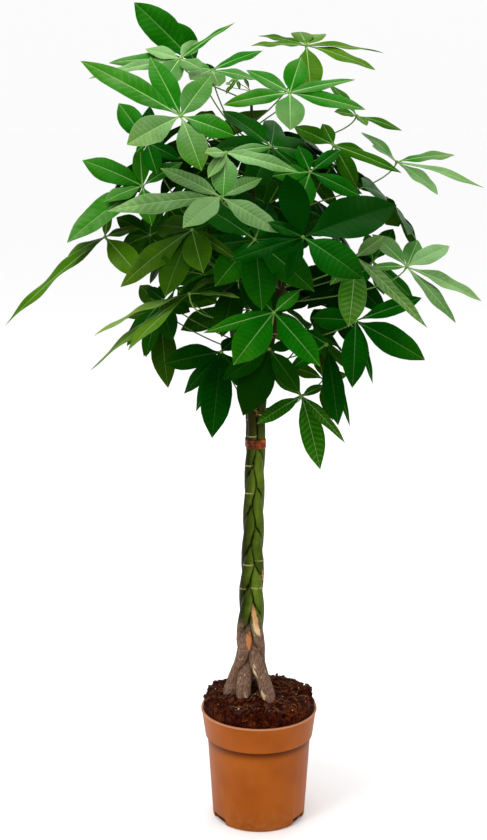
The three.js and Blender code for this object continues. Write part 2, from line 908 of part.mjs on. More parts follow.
// A leaf turned about the way it faces, made smaller, and moved as a whole.
function moved(leaf, shift, turn, scale) {
  const hub = leaf.hub.clone().add(shift);
  const blades = leaf.blades.map(({ tip, widthRatio }) => {
    const reach = tip.clone().sub(leaf.hub).applyAxisAngle(leaf.facing, turn).multiplyScalar(scale);
    return { tip: reach.add(hub), widthRatio };
  });
  return { ...leaf, hub, blades };
}

// The shifts that a leaf may try, the smallest first, made of steps along its two free directions.
function shiftsOf(leaf) {
  const [first, second] = leaf.free;
  const shifts = [];
  for (let a = -leaf.tries; a <= leaf.tries; a++) {
    for (let b = -leaf.tries; b <= leaf.tries; b++) {
      if (b && !second) continue;
      const shift = first.clone().multiplyScalar(a * SLIDE_STEP);
      if (b) shift.addScaledVector(second, b * SLIDE_STEP);
      shifts.push(shift);
    }
  }
  return shifts.sort((a, b) => a.length() - b.length());
}

// The leaves of one tier, each turned outwards with its leaflets spread like a hand.
function tierLeaves(tier, tierIndex) {
  return Array.from({ length: tier.leaves }, (_, place) => {
    const share = tier.leaves > 1 ? place / (tier.leaves - 1) : 0.5;
    const angle = THREE.MathUtils.degToRad(
      THREE.MathUtils.lerp(tier.firstAngle, tier.lastAngle, share) +
        TIER_LEAF.angleSpread * ragged(place, tierIndex),
    );
    const out = new THREE.Vector3(Math.cos(angle), Math.sin(angle), 0);
    const reach = tier.reach * (1 + TIER_LEAF.reachSpread * ragged(place + 3, tierIndex));
    const hub = new THREE.Vector3(TIER_CENTRE + reach * TIER_SIDEWAYS * out.x, reach * out.y, 0);
    hub.z = tier.height + TIER_LEAF.heightSpread * ragged(place + 7, tierIndex);
    const facing = out.clone().multiplyScalar(TIER_LEAF.facingOut).setZ(TIER_LEAF.facingUp).normalize();
    const side = new THREE.Vector3().crossVectors(facing, out).normalize();
    const along = new THREE.Vector3().crossVectors(side, facing);
    const count = TIER_LEAF.leaflets[(place + tierIndex) % TIER_LEAF.leaflets.length];
    const blades = Array.from({ length: count }, (__, finger) => {
      const spin = ((finger + 0.5) / count) * 2 * Math.PI;
      const length =
        tier.length *
        (1 - TIER_LEAF.innerShorter * Math.cos(spin)) *
        (1 + TIER_LEAF.lengthSpread * ragged(finger, place + tierIndex * 5));
      const tip = hub
        .clone()
        .addScaledVector(along, length * Math.cos(spin))
        .addScaledVector(side, length * Math.sin(spin))
        .add(new THREE.Vector3(0, 0, -length * TIER_LEAF.droop));
      return { tip, widthRatio: TIER_LEAF.widthRatio };
    });
    const free = [out, new THREE.Vector3(0, 0, 1)];
    const { tries, turns, scales } = TIER_LEAF;
    return { hub, facing, blades, free, tries, turns, scales };
  });
}

// ---------------------------------------------------------------- assembly

const plant = new THREE.Group();
const placed = [];

function addMesh(name, solid, material) {
  const mesh = new THREE.Mesh(geometryOf(solid), material);
  mesh.name = name;
  plant.add(mesh);
  placed.push({ solid, box: solid.boundingBox() });
}

function boxesMeet(a, b) {
  return [0, 1, 2].every((axis) => a.min[axis] <= b.max[axis] && b.min[axis] <= a.max[axis]);
}

// Whether a solid keeps a distance from all that is placed.
function isClear(solid, distance) {
  const box = solid.boundingBox();
  return placed.every((other) => !boxesMeet(box, other.box) || solid.minGap(other.solid, GAP_SEARCH) >= distance);
}

// The first clear position of a leaf, with its petiole on the first clear seat.
function clearLeaf(leaf, stems) {
  for (const scale of leaf.scales) {
    for (const shift of shiftsOf(leaf)) {
      for (const turn of leaf.turns) {
        const tried = moved(leaf, shift, turn, scale);
        const blades = bladesSolid(tried);
        if (!isClear(blades, LEAF_GAP)) continue;
        for (const seat of petioleSeats(tried.hub).slice(0, SEAT.tries)) {
          const stalk = seatedPetiole(tried, seat, stems);
          if (isClear(stalk, PETIOLE.clearance)) return blades.add(stalk);
        }
      }
    }
  }
  return null;
}

function addLeaf(name, leaf, stems) {
  const solid = clearLeaf(leaf, stems);
  if (!solid) throw new Error(`${name} finds no clear place`);
  addMesh(name, solid, MATERIALS.leaf);
}

addMesh("pot", pot(), MATERIALS.pot);
addMesh("potting_mix", pottingMix(STEMS.map((row, stem) => socketSolid(stem))), MATERIALS.mix);
const stems = braidedStems();
stems.forEach((solid, stem) => addMesh(`stem_${stem + 1}`, solid, MATERIALS.stem));
addMesh("braid_tie", tieBand(), MATERIALS.tie);

const leaves = [...FRONT_LEAVES.map(frontLeaf), ...TIERS.flatMap(tierLeaves)];
leaves.forEach((leaf, place) => {
  const number = String(place + 1).padStart(2, "0");
  addLeaf(`leaf_${number}`, leaf, stems);
});

export default plant;
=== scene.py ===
"""A braided money tree in a round nursery pot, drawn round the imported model.

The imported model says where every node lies. Each class below builds one sub-assembly: the pot, the
potting mix, the woven stems, the band that ties them, the crown of palmate leaves, the young shoot
at the top and the studio. Sizes are in metres, Z is up and the camera looks along +Y.
"""

import logging
import math
import random
from collections.abc import Callable, Iterator, Sequence
from contextlib import contextmanager
from dataclasses import dataclass, field
from enum import Enum
from itertools import combinations

import bpy
import numpy as np
from mathutils import Matrix, Vector, noise
from mathutils.bvhtree import BVHTree


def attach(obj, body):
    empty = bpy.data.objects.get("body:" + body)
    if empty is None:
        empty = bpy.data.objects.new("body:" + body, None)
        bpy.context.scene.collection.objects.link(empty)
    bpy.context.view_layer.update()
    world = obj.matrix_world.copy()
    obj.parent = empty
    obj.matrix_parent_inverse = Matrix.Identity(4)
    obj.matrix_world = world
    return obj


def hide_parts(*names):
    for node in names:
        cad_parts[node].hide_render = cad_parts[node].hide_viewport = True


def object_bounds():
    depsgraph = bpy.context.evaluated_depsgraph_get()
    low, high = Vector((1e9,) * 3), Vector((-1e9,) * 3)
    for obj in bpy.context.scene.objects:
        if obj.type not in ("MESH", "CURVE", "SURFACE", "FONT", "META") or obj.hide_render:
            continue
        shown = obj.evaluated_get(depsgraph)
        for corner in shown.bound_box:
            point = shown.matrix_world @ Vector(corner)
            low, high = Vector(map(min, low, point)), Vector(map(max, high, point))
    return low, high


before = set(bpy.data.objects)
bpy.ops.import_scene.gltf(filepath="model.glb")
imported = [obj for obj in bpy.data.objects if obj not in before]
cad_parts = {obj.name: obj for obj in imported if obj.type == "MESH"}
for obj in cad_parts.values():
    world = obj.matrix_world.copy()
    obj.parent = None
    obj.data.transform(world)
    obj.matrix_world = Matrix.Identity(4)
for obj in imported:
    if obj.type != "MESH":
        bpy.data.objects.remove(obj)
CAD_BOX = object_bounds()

LOG = logging.getLogger("money_tree")
BODY = "root"
UP = Vector((0, 0, 1))

Piece = bpy.types.Object
Socket = bpy.types.NodeSocket
Colour = tuple[float, float, float]
Stops = tuple[tuple[float, Colour], ...]


# ------------------------------------------------------------------ shader maths


def operation(name: str, flipped: bool = False) -> Callable[["Signal", "Number"], "Signal"]:
    """Makes a method of Signal out of an operation of the Math node.

    Args:
        name: The node's operation.
        flipped: Whether the other number comes first.

    Returns:
        The method.
    """

    def method(signal: "Signal", other: "Number") -> "Signal":
        """Works out one number from two."""
        return signal.look.math(name, *((other, signal) if flipped else (signal, other)))

    return method


class Signal:
    """A number that varies over a surface: a float socket with Python's operators."""

    __add__ = operation("ADD")
    __radd__ = operation("ADD", flipped=True)
    __sub__ = operation("SUBTRACT")
    __rsub__ = operation("SUBTRACT", flipped=True)
    __mul__ = operation("MULTIPLY")
    __truediv__ = operation("DIVIDE")
    most = operation("MAXIMUM")

    def __init__(self, look: "Look", socket: Socket) -> None:
        """Wraps a socket.

        Args:
            look: The material in the making that the socket belongs to.
            socket: The output socket that gives the number.
        """
        self.look = look
        self.socket = socket

    def size(self) -> "Signal":
        """The number without its sign."""
        return self.look.math("ABSOLUTE", self)

    def part(self) -> "Signal":
        """The number's part after the point."""
        return self.look.math("FRACT", self)

    def step(self, low: float, high: float) -> "Signal":
        """A smooth step.

        Args:
            low: Where it is 0; it may lie above high.
            high: Where it is 1.

        Returns:
            A number from 0 to 1.
        """
        made = self.look.node(
            "ShaderNodeMapRange",
            {"interpolation_type": "SMOOTHSTEP"},
            {"Value": self, "From Min": low, "From Max": high},
        )
        return Signal(self.look, made.outputs["Result"])


Number = float | Signal


class Look:
    """A procedural material in the making."""

    def __init__(self, name: str) -> None:
        """Starts a material with one Principled shader.

        Args:
            name: The material's name.
        """
        self.material = bpy.data.materials.new(name)
        self.material.use_nodes = True
        self.tree = self.material.node_tree
        self.tree.nodes.clear()
        self.shader = self.node("ShaderNodeBsdfPrincipled")
        self.node("ShaderNodeOutputMaterial", inputs={"Surface": self.shader.outputs[0]})

    def node(
        self,
        kind: str,
        settings: dict[str, object] | None = None,
        inputs: dict[str | int, object] | None = None,
    ) -> bpy.types.Node:
        """Adds a node.

        Args:
            kind: The node's type.
            settings: Properties to set first; "stops" sets the stops of a colour ramp.
            inputs: Values or links of its sockets, by name or place.

        Returns:
            The node.
        """
        made = self.tree.nodes.new(kind)
        for key, value in (settings or {}).items():
            if key == "stops":
                self._set_stops(made, value)
            else:
                setattr(made, key, value)
        self._feed(made, inputs or {})
        return made

    def _feed(self, node: bpy.types.Node, inputs: dict[str | int, object]) -> None:
        """Sets or links the sockets of a node.

        Args:
            node: The node.
            inputs: Values or links of its sockets, by name or place.
        """
        for key, value in inputs.items():
            if isinstance(value, Signal):
                value = value.socket
            if isinstance(value, Socket):
                self.tree.links.new(value, node.inputs[key])
            else:
                node.inputs[key].default_value = value

    @staticmethod
    def _set_stops(ramp: bpy.types.Node, stops: Stops) -> None:
        """Sets a colour ramp's stops.

        Args:
            ramp: The ramp's node.
            stops: Places and colours, lowest place first.
        """
        elements = ramp.color_ramp.elements
        while len(elements) < len(stops):
            elements.new(1.0)
        for element, (place, colour) in zip(elements, stops):
            element.position = place
            element.color = (*colour, 1.0)

    def math(self, operation: str, *values: Number) -> Signal:
        """Works out a number from others.

        Args:
            operation: The Math node's operation.
            values: Its operands.

        Returns:
            The result.
        """
        made = self.node("ShaderNodeMath", {"operation": operation}, dict(enumerate(values)))
        return Signal(self, made.outputs[0])

    def place(self) -> Socket:
        """The point's place in the object's own frame."""
        return self.node("ShaderNodeTexCoord").outputs["Object"]

    def axes(self, vector: Socket) -> tuple[Signal, Signal, Signal]:
        """Takes a vector apart.

        Args:
            vector: The socket that gives it.

        Returns:
            Its x, y and z.
        """
        made = self.node("ShaderNodeSeparateXYZ", inputs={0: vector})
        return tuple(Signal(self, output) for output in made.outputs)

    def stretched(self, vector: Socket, scale: Colour) -> Socket:
        """A vector with each axis scaled.

        Args:
            vector: The socket that gives it.
            scale: The factor of each axis.

        Returns:
            The scaled vector's socket.
        """
        made = self.node("ShaderNodeMapping", inputs={"Vector": vector, "Scale": scale})
        return made.outputs[0]

    def attribute(self, name: str) -> Signal:
        """A number that the mesh carries.

        Args:
            name: The attribute's name.

        Returns:
            Its value at the point.
        """
        made = self.node("ShaderNodeAttribute", {"attribute_name": name})
        return Signal(self, made.outputs["Fac"])

    def noise(
        self,
        vector: Socket,
        scale: float,
        detail: float = 3.0,
        roughness: float = 0.55,
        distortion: float = 0.0,
    ) -> Signal:
        """Cloudy noise from 0 to 1.

        Args:
            vector: Where it is read.
            scale: Clouds to the metre.
            detail: Octaves.
            roughness: Share of each finer octave.
            distortion: How much it swirls.

        Returns:
            The noise.
        """
        values = {
            "Vector": vector,
            "Scale": scale,
            "Detail": detail,
            "Roughness": roughness,
            "Distortion": distortion,
        }
        return Signal(self, self.node("ShaderNodeTexNoise", inputs=values).outputs["Fac"])

    def cells(self, vector: Socket, scale: float) -> Signal:
        """Distance from the middle of the nearest cell in a field of random ones.

        Args:
            vector: Where it is read.
            scale: Cells to the metre.

        Returns:
            The distance.
        """
        made = self.node("ShaderNodeTexVoronoi", inputs={"Vector": vector, "Scale": scale})
        return Signal(self, made.outputs["Distance"])

    def ramp(self, factor: Signal, stops: Stops) -> Socket:
        """A colour picked along a row of stops.

        Args:
            factor: Where along the row.
            stops: Places and colours.

        Returns:
            The colour's socket.
        """
        made = self.node("ShaderNodeValToRGB", {"stops": stops}, {0: factor})
        return made.outputs["Color"]

    def mix(self, factor: Number, first: Colour | Socket, second: Colour | Socket) -> Socket:
        """Mixes two colours.

        Args:
            factor: The second one's share.
            first: A colour.
            second: Another.

        Returns:
            The mixed colour's socket.
        """
        values = {0: factor, 6: self._colour(first), 7: self._colour(second)}
        settings = {"data_type": "RGBA", "clamp_result": True}
        return self.node("ShaderNodeMix", settings, values).outputs[2]

    @staticmethod
    def _colour(value: Colour | Socket) -> tuple[float, ...] | Socket:
        """A colour as a socket takes it."""
        return value if isinstance(value, Socket) else (*value, 1.0)

    def finish(
        self,
        colour: Socket | Colour,
        roughness: Number,
        height: Signal | None = None,
        depth: float = 0.0,
        shine: float = 0.5,
        tint: Colour = (1.0, 1.0, 1.0),
    ) -> bpy.types.Material:
        """Joins the finish to the shader.

        Args:
            colour: The base colour.
            roughness: The roughness.
            height: The fine relief, from 0 to 1.
            depth: The relief's height in metres.
            shine: How strong its reflections are.
            tint: Their colour.

        Returns:
            The material.
        """
        values = {"Base Color": self._colour(colour), "Roughness": roughness}
        if height is not None:
            relief = {"Height": height, "Distance": depth, "Strength": 1.0}
            values["Normal"] = self.node("ShaderNodeBump", inputs=relief).outputs[0]
        values |= {"Specular IOR Level": shine, "Specular Tint": (*tint, 1.0)}
        self._feed(self.shader, values)
        return self.material


# ------------------------------------------------------------------ finishes


@dataclass(frozen=True)
class MouldedPlastic:
    """The pot's terracotta-coloured plastic: satin, a little cloudy, dusty near the ground."""

    clear: Colour = (0.325, 0.083, 0.009)
    deep: Colour = (0.265, 0.062, 0.006)
    dust: Colour = (0.38, 0.17, 0.075)
    # Real dark splash stains; also the colour of the painted shadow under the collar.
    stain_and_shadow: Colour = (0.06, 0.011, 0.001)
    # The colour of the painted highlight along the top of the rim.
    wear_and_highlight: Colour = (0.6, 0.3, 0.18)
    shine: float = 0.12
    collar_foot: float = 0.157
    rim_height: float = 0.207

    def make(self) -> bpy.types.Material:
        """Makes the material, with a painted shadow under the collar and a painted highlight along
        the rim.
        """
        look = Look("moulded_plastic")
        place = look.place()
        _, _, height = look.axes(place)
        clouds = look.noise(place, 14, 4)
        colour = look.mix(clouds.step(0.3, 0.7), self.deep, self.clear)
        streaks = look.noise(look.stretched(place, (1, 1, 0.12)), 95, 3).step(0.55, 0.8)
        colour = look.mix(streaks * 0.06, colour, self.dust)
        low = height.step(0.05, 0.0) * look.noise(place, 60, 4).step(0.35, 0.75)
        colour = look.mix(low * 0.45, colour, self.dust)
        splashes = look.noise(place, 240, 2).step(0.7, 0.8) * height.step(0.12, 0.2)
        colour = look.mix(splashes * 0.5, colour, self.stain_and_shadow)
        # Painted shadow: the body darkens in a band just under the collar, where the collar would
        # shade it.
        under = height.step(self.collar_foot - 0.026, self.collar_foot - 0.0012)
        under = under * under * height.step(self.collar_foot + 0.0016, self.collar_foot + 0.0008)
        colour = look.mix(under * 0.92, colour, self.stain_and_shadow)
        # Painted highlight: a pale band round the top of the rim, where its lip catches the light.
        wear_and_highlight = height.step(self.rim_height - 0.003, self.rim_height - 0.0012)
        colour = look.mix(wear_and_highlight * 0.6, colour, self.wear_and_highlight)
        grain = look.noise(place, 1400, 2)
        roughness = 0.4 + clouds * 0.1 + low * 0.2
        relief = grain * 0.4 + clouds * 0.6
        return look.finish(colour, roughness, relief, 0.0004, self.shine, self.clear)


@dataclass(frozen=True)
class DampMix:
    """Dark bark and coir, damp and matt, with rusty threads."""

    dark: Colour = (0.007, 0.0012, 0.0008)
    brown: Colour = (0.048, 0.007, 0.003)
    rust: Colour = (0.24, 0.05, 0.008)
    shine: float = 0.12

    def make(self) -> bpy.types.Material:
        """Makes the material."""
        look = Look("damp_mix")
        place = look.place()
        crumbs = look.noise(place, 190, 5, 0.65)
        colour = look.mix(crumbs.step(0.35, 0.7), self.dark, self.brown)
        threads = look.noise(place, 120, 3, 0.5, 1.8)
        patches = look.noise(place, 34, 3)
        thread = (threads - 0.5).size().step(0.018, 0.0) * patches.step(0.38, 0.52)
        colour = look.mix((patches * crumbs).step(0.25, 0.36) * 0.3, colour, self.rust)
        colour = look.mix(thread * 0.8, colour, self.rust)
        height = crumbs * 0.7 + look.cells(place, 420) * 0.3 + thread * 0.2
        roughness = 0.85 - crumbs.step(0.6, 0.8) * 0.2
        return look.finish(colour, roughness, height, 0.004, self.shine, self.rust)


@dataclass(frozen=True)
class LooseBit:
    """Bark chips and fibres, each with its own tone."""

    name: str
    stops: Stops
    roughness: float = 0.85
    shine: float = 0.15

    def make(self) -> bpy.types.Material:
        """Makes the material."""
        look = Look(self.name)
        place = look.place()
        grain = look.noise(place, 700, 3)
        tone = look.attribute("tone") * 0.85 + grain * 0.3 - 0.07
        colour = look.ramp(tone, self.stops)
        return look.finish(colour, self.roughness, grain, 0.0006, self.shine)


@dataclass(frozen=True)
class StemBark:
    """Young olive bark with pale ring scars, corky and grey-brown towards the foot."""

    shaded: Colour = (0.009, 0.016, 0.001)
    olive: Colour = (0.042, 0.068, 0.004)
    bright: Colour = (0.1, 0.16, 0.014)
    cork: Colour = (0.21, 0.125, 0.085)
    cork_dark: Colour = (0.1, 0.052, 0.034)
    # The colour of the painted shade in the deepest creases between the strands.
    gap: Colour = (0.012, 0.008, 0.003)
    scar: Colour = (0.46, 0.36, 0.2)
    tan: Colour = (0.5, 0.15, 0.025)
    cream: Colour = (0.66, 0.46, 0.26)
    top: Colour = (0.017, 0.011, 0.003)
    shine: float = 0.12
    cork_top: float = 0.388
    cork_end: float = 0.345
    scar_reach: float = 0.16

    def make(self) -> bpy.types.Material:
        """Makes the material."""
        look = Look("stem_bark")
        place = look.place()
        _, _, height = look.axes(place)
        tone = look.attribute("tone")
        crevice = look.attribute("crevice")
        clouds = look.noise(place, 55, 4)
        # Noise of real wear that breaks up the scars and the peeled patches.
        wear_and_highlight = look.noise(place, 300, 3)
        scar = look.attribute("scar").step(self.scar_reach, 0.0) * wear_and_highlight.step(0.36, 0.5)
        streaks = look.noise(look.stretched(place, (1, 1, 0.1)), 420, 3)
        skin = tone + (clouds - 0.5) * 0.6 + (streaks - 0.5) * 0.5
        # Painted shade: the bark darkens where a neighbouring strand presses on it.
        skin = skin - crevice.step(0.0, 0.22) * 0.6
        colour = look.ramp(skin, ((0.0, self.shaded), (0.5, self.olive), (1.0, self.bright)))
        colour = look.mix(height.step(0.69, 0.74) * 0.75, colour, self.top)
        edge = height + (clouds - 0.5) * 0.07
        corky = edge.step(self.cork_top, self.cork_end)
        cork = look.mix(streaks.step(0.35, 0.65), self.cork_dark, self.cork)
        colour = look.mix(corky, colour, cork)
        peel = look.attribute("peel") + (streaks - 0.5) * 0.9 + (wear_and_highlight - 0.5) * 0.5
        bare = look.mix(look.attribute("cream"), self.tan, self.cream)
        bare = look.mix(streaks.step(0.5, 0.7) * 0.4, bare, self.cork)
        colour = look.mix(peel.step(0.38, 0.62) * 0.9, colour, bare)
        dashes = look.noise(look.stretched(place, (1, 1, 0.45)), 150, 2).step(0.64, 0.7)
        pale = (corky * dashes).most(scar * (1.0 - corky * 0.6))
        colour = look.mix(pale * 0.7, colour, self.scar)
        # Painted shade: the deepest creases between the strands are filled with the gap colour.
        colour = look.mix(crevice.step(0.1, 0.36) * 0.75, colour, self.gap)
        relief = streaks * 0.35 + clouds * 0.25 + corky * look.noise(place, 260, 4) * 0.3
        roughness = 0.5 + corky * 0.25 + (streaks - 0.5) * 0.2
        return look.finish(colour, roughness, relief + pale * 0.15, 0.0012, self.shine, self.scar)


@dataclass(frozen=True)
class TieTape:
    """The weathered red-brown tape of the tie, with painted light on its right side."""

    red: Colour = (0.2, 0.03, 0.007)
    orange: Colour = (0.42, 0.085, 0.014)
    dark: Colour = (0.035, 0.012, 0.006)
    shine: float = 0.12

    def make(self) -> bpy.types.Material:
        """Makes the material."""
        look = Look("tie_tape")
        place = look.place()
        clouds = look.noise(place, 110, 4)
        east, _, _ = look.axes(place)
        # Painted light: the tape is lighter on its right (+X) side; the clouds are its own uneven
        # colour.
        warmth = clouds * 1.5 + east.step(-0.018, 0.012) * 0.3 - 0.42
        colour = look.ramp(warmth, ((0.25, self.dark), (0.46, self.red), (0.72, self.orange)))
        fibres = look.noise(look.stretched(place, (0.2, 0.2, 1)), 1500, 3)
        return look.finish(colour, 0.6, fibres, 0.0008, self.shine)


@dataclass(frozen=True)
class LeafSkin:
    """A leaf's skin: midrib and side veins follow the leaflet's own UV map."""

    name: str
    stops: Stops
    olive: Stops
    rib: Colour
    roughness: float
    vein_strength: float
    relief: float
    shine: float
    sheen: Colour = (0.1, 1.0, 0.08)
    veins: int = 13

    def make(self) -> bpy.types.Material:
        """Makes the material."""
        look = Look(self.name)
        place = look.place()
        uv = look.node("ShaderNodeUVMap", {"uv_map": Blades.UV_NAME}).outputs[0]
        across, along, _ = look.axes(uv)
        off = ((across - 0.5) * 2.0).size()
        tone = look.attribute("tone")
        clouds = look.noise(place, 28, 3)
        mottle = look.noise(place, 240, 3)
        blade = tone + (clouds - 0.5) * 0.3 + (mottle - 0.5) * 0.1
        ripple = ((along * float(self.veins)).part() - 0.5).size() * 2.0
        veined = look.attribute("veined")
        vein = ripple.step(0.62, 0.0) * off.step(0.98, 0.7)
        blade = blade + vein * veined * self.vein_strength + off.step(0.9, 1.0) * 0.1
        green = look.ramp(blade, self.stops)
        # The olive ramp stands for yellowed leaves and, on leaves seen against the light, a painted
        # glow of light shining through the blade.
        yellowed_and_backlit = look.ramp(blade, self.olive)
        colour = look.mix(look.attribute("olive"), green, yellowed_and_backlit)
        away = off * look.attribute("span") * 1000.0
        midrib = (away / (1.35 - along)).step(0.95, 0.5)
        colour = look.mix(midrib * tone.step(-0.1, 0.75) * 0.85, colour, self.rib)
        height = ripple.step(0.0, 0.8) * veined * 0.75 + mottle * 0.25 - midrib * 0.3
        roughness = self.roughness + (mottle - 0.5) * 0.14 + midrib * 0.1
        return look.finish(colour, roughness, height, self.relief, self.shine, self.sheen)


@dataclass(frozen=True)
class GreenStalk:
    """Petioles and hubs: smooth, light green, a little browner at the stem."""

    light: Colour = (0.14, 0.25, 0.05)
    dark: Colour = (0.012, 0.034, 0.002)
    shine: float = 0.05

    def make(self) -> bpy.types.Material:
        """Makes the material."""
        look = Look("green_stalk")
        place = look.place()
        clouds = look.noise(place, 70, 3)
        tone = look.attribute("tone")
        colour = look.mix((tone + (clouds - 0.5) * 0.5).step(0.0, 1.0), self.dark, self.light)
        grain = look.noise(place, 900, 2)
        return look.finish(colour, 0.5 + (grain - 0.5) * 0.1, grain, 0.0003, self.shine, self.light)


@dataclass(frozen=True)
class PaleFloor:
    """The studio's floor."""

    colour: Colour = (0.96, 0.96, 0.96)

    def make(self) -> bpy.types.Material:
        """Makes the material."""
        look = Look("pale_floor")
        clouds = look.noise(look.place(), 3, 2)
        return look.finish(look.mix(clouds * 0.03, self.colour, (0.93, 0.93, 0.93)), 0.8)


# ------------------------------------------------------------------ modelling by hand


def alone(piece: Piece) -> Piece:
    """Makes an object the only one selected, and active.

    Args:
        piece: The object.

    Returns:
        The same object.
    """
    bpy.ops.object.select_all(action="DESELECT")
    piece.select_set(True)
    bpy.context.view_layer.objects.active = piece
    return piece


def fresh(add: Callable[..., object], name: str, **settings: object) -> Piece:
    """Adds a primitive.

    Args:
        add: The operator that adds it.
        name: The new object's name.
        settings: The operator's settings.

    Returns:
        The new object, alone in the selection.
    """
    bpy.ops.object.select_all(action="DESELECT")
    add(**settings)
    piece = bpy.context.active_object
    piece.name = name
    piece.data.name = name
    return alone(piece)


@contextmanager
def editing(piece: Piece, kind: str = "FACE") -> Iterator[None]:
    """Holds an object in edit mode.

    Args:
        piece: The object.
        kind: VERT, EDGE or FACE selection.

    Yields:
        Nothing.
    """
    alone(piece)
    bpy.ops.object.mode_set(mode="EDIT")
    bpy.ops.mesh.select_mode(type=kind)
    yield
    bpy.ops.object.mode_set(mode="OBJECT")


def cut_rod(name: str, cuts: int, **settings: object) -> Piece:
    """Adds a cylinder and cuts it across evenly.

    Args:
        name: Its name.
        cuts: How many cuts.
        settings: The cylinder's settings.

    Returns:
        The cylinder, alone in the selection.
    """
    piece = fresh(bpy.ops.mesh.primitive_cylinder_add, name, **settings)
    mesh = piece.data
    for parts in (mesh.polygons, mesh.vertices):
        parts.foreach_set("select", [False] * len(parts))
    bpy.context.tool_settings.mesh_select_mode = (False, True, False)
    for edge in mesh.edges:
        low, high = (mesh.vertices[index].co.z for index in edge.vertices)
        edge.select = abs(high - low) > 0.5
    with editing(piece, "EDGE"):
        bpy.ops.mesh.subdivide(number_cuts=cuts)
    return piece


def modified(piece: Piece, kind: str, **settings: object) -> None:
    """Adds a modifier and applies it.

    Args:
        piece: The object.
        kind: The modifier's type.
        settings: Its settings.
    """
    alone(piece)
    bpy.ops.object.modifier_add(type=kind)
    modifier = piece.modifiers[-1]
    for key, value in settings.items():
        setattr(modifier, key, value)
    bpy.ops.object.modifier_apply(modifier=modifier.name)


def joined(pieces: Sequence[Piece], name: str) -> Piece:
    """Joins objects into the first.

    Args:
        pieces: The objects.
        name: The joined object's name.

    Returns:
        The joined object.
    """
    bpy.ops.object.select_all(action="DESELECT")
    for piece in pieces:
        piece.select_set(True)
    bpy.context.view_layer.objects.active = pieces[0]
    if len(pieces) > 1:
        bpy.ops.object.join()
    pieces[0].name = name
    pieces[0].data.name = name
    return pieces[0]


def twin(piece: Piece, name: str) -> Piece:
    """Copies an object with a mesh of its own.

    Args:
        piece: The object.
        name: The copy's name.

    Returns:
        The copy.
    """
    made = piece.copy()
    made.data = piece.data.copy()
    made.name = name
    bpy.context.scene.collection.objects.link(made)
    return made


def discard(piece: Piece) -> None:
    """Removes an object and its mesh."""
    mesh = piece.data
    bpy.data.objects.remove(piece)
    bpy.data.meshes.remove(mesh)


def places_of(mesh: bpy.types.Mesh) -> np.ndarray:
    """The vertices of a mesh, one row each."""
    flat = np.empty(len(mesh.vertices) * 3, np.float64)
    mesh.vertices.foreach_get("co", flat)
    return flat.reshape(-1, 3)


def set_places(mesh: bpy.types.Mesh, places: np.ndarray) -> None:
    """Moves the vertices of a mesh.

    Args:
        mesh: The mesh.
        places: A row for each vertex.
    """
    mesh.vertices.foreach_set("co", np.ascontiguousarray(places, np.float32).ravel())
    mesh.update()


def carry(mesh: bpy.types.Mesh, name: str, values: float | np.ndarray) -> None:
    """Gives each vertex of a mesh a number that a material can read.

    Args:
        mesh: The mesh.
        name: The attribute's name.
        values: One number for all, or one for each vertex.
    """
    attribute = mesh.attributes.get(name) or mesh.attributes.new(name, "FLOAT", "POINT")
    row = np.broadcast_to(np.asarray(values, np.float32), len(mesh.vertices))
    attribute.data.foreach_set("value", np.ascontiguousarray(row))


def dress(piece: Piece, finish: bpy.types.Material, sharp_from: float | None = None) -> None:
    """Gives a piece its material and shades it smoothly.

    Args:
        piece: The piece.
        finish: The material.
        sharp_from: The angle in degrees from which an edge stays sharp; without it none does.
    """
    piece.data.materials.append(finish)
    alone(piece)
    if sharp_from is None:
        bpy.ops.object.shade_smooth()
    else:
        bpy.ops.object.shade_smooth_by_angle(angle=math.radians(sharp_from))


def hand_over(piece: Piece, slot: str, *nodes: str) -> None:
    """Makes a finished piece part of the object.

    Args:
        piece: The piece.
        slot: The record's material slot; not used.
        nodes: The CAD nodes that it stands for.
    """
    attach(piece, BODY)
    if nodes:
        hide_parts(*nodes)
    LOG.info("%s: %d faces", piece.name, len(piece.data.polygons))


def merged_copy(node: str, name: str) -> Piece:
    """A copy of a CAD node with its triangles joined.

    Args:
        node: The CAD node.
        name: The copy's name.

    Returns:
        The copy, riding on nothing.
    """
    piece = twin(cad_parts[node], name)
    piece.parent = None
    for key in list(piece.keys()):
        del piece[key]
    piece.data.materials.clear()
    with editing(piece, "VERT"):
        bpy.ops.mesh.select_all(action="SELECT")
        bpy.ops.mesh.remove_doubles(threshold=0.00002)
    return piece


# ------------------------------------------------------------------ plain maths


def ragged(a: float, b: float) -> float:
    """A repeatable uneven number from -1 to 1 for a pair of numbers."""
    wave = math.sin(a * 12.9898 + b * 78.233) * 43758.5453
    return 2 * (wave - math.floor(wave)) - 1


def clamp(value: float) -> float:
    """The value kept between 0 and 1."""
    return min(max(value, 0.0), 1.0)


def unit(rows: np.ndarray) -> np.ndarray:
    """The rows, each scaled to a length of 1."""
    return rows / np.linalg.norm(rows, axis=1, keepdims=True)


def even_angles(count: int) -> np.ndarray:
    """Evenly spaced angles round a circle, starting at +X."""
    return 2 * np.pi * np.arange(count) / count


def compass(count: int) -> np.ndarray:
    """The unit vectors at evenly spaced angles, one row each."""
    angles = even_angles(count)
    return np.stack([np.cos(angles), np.sin(angles)], axis=1)


def sides_of(places: np.ndarray, count: int) -> np.ndarray:
    """Which of so many evenly spaced sides each place lies on."""
    angles = np.arctan2(places[:, 1], places[:, 0])
    return np.round(angles / (2 * np.pi) * count).astype(int) % count


# ------------------------------------------------------------------ pot


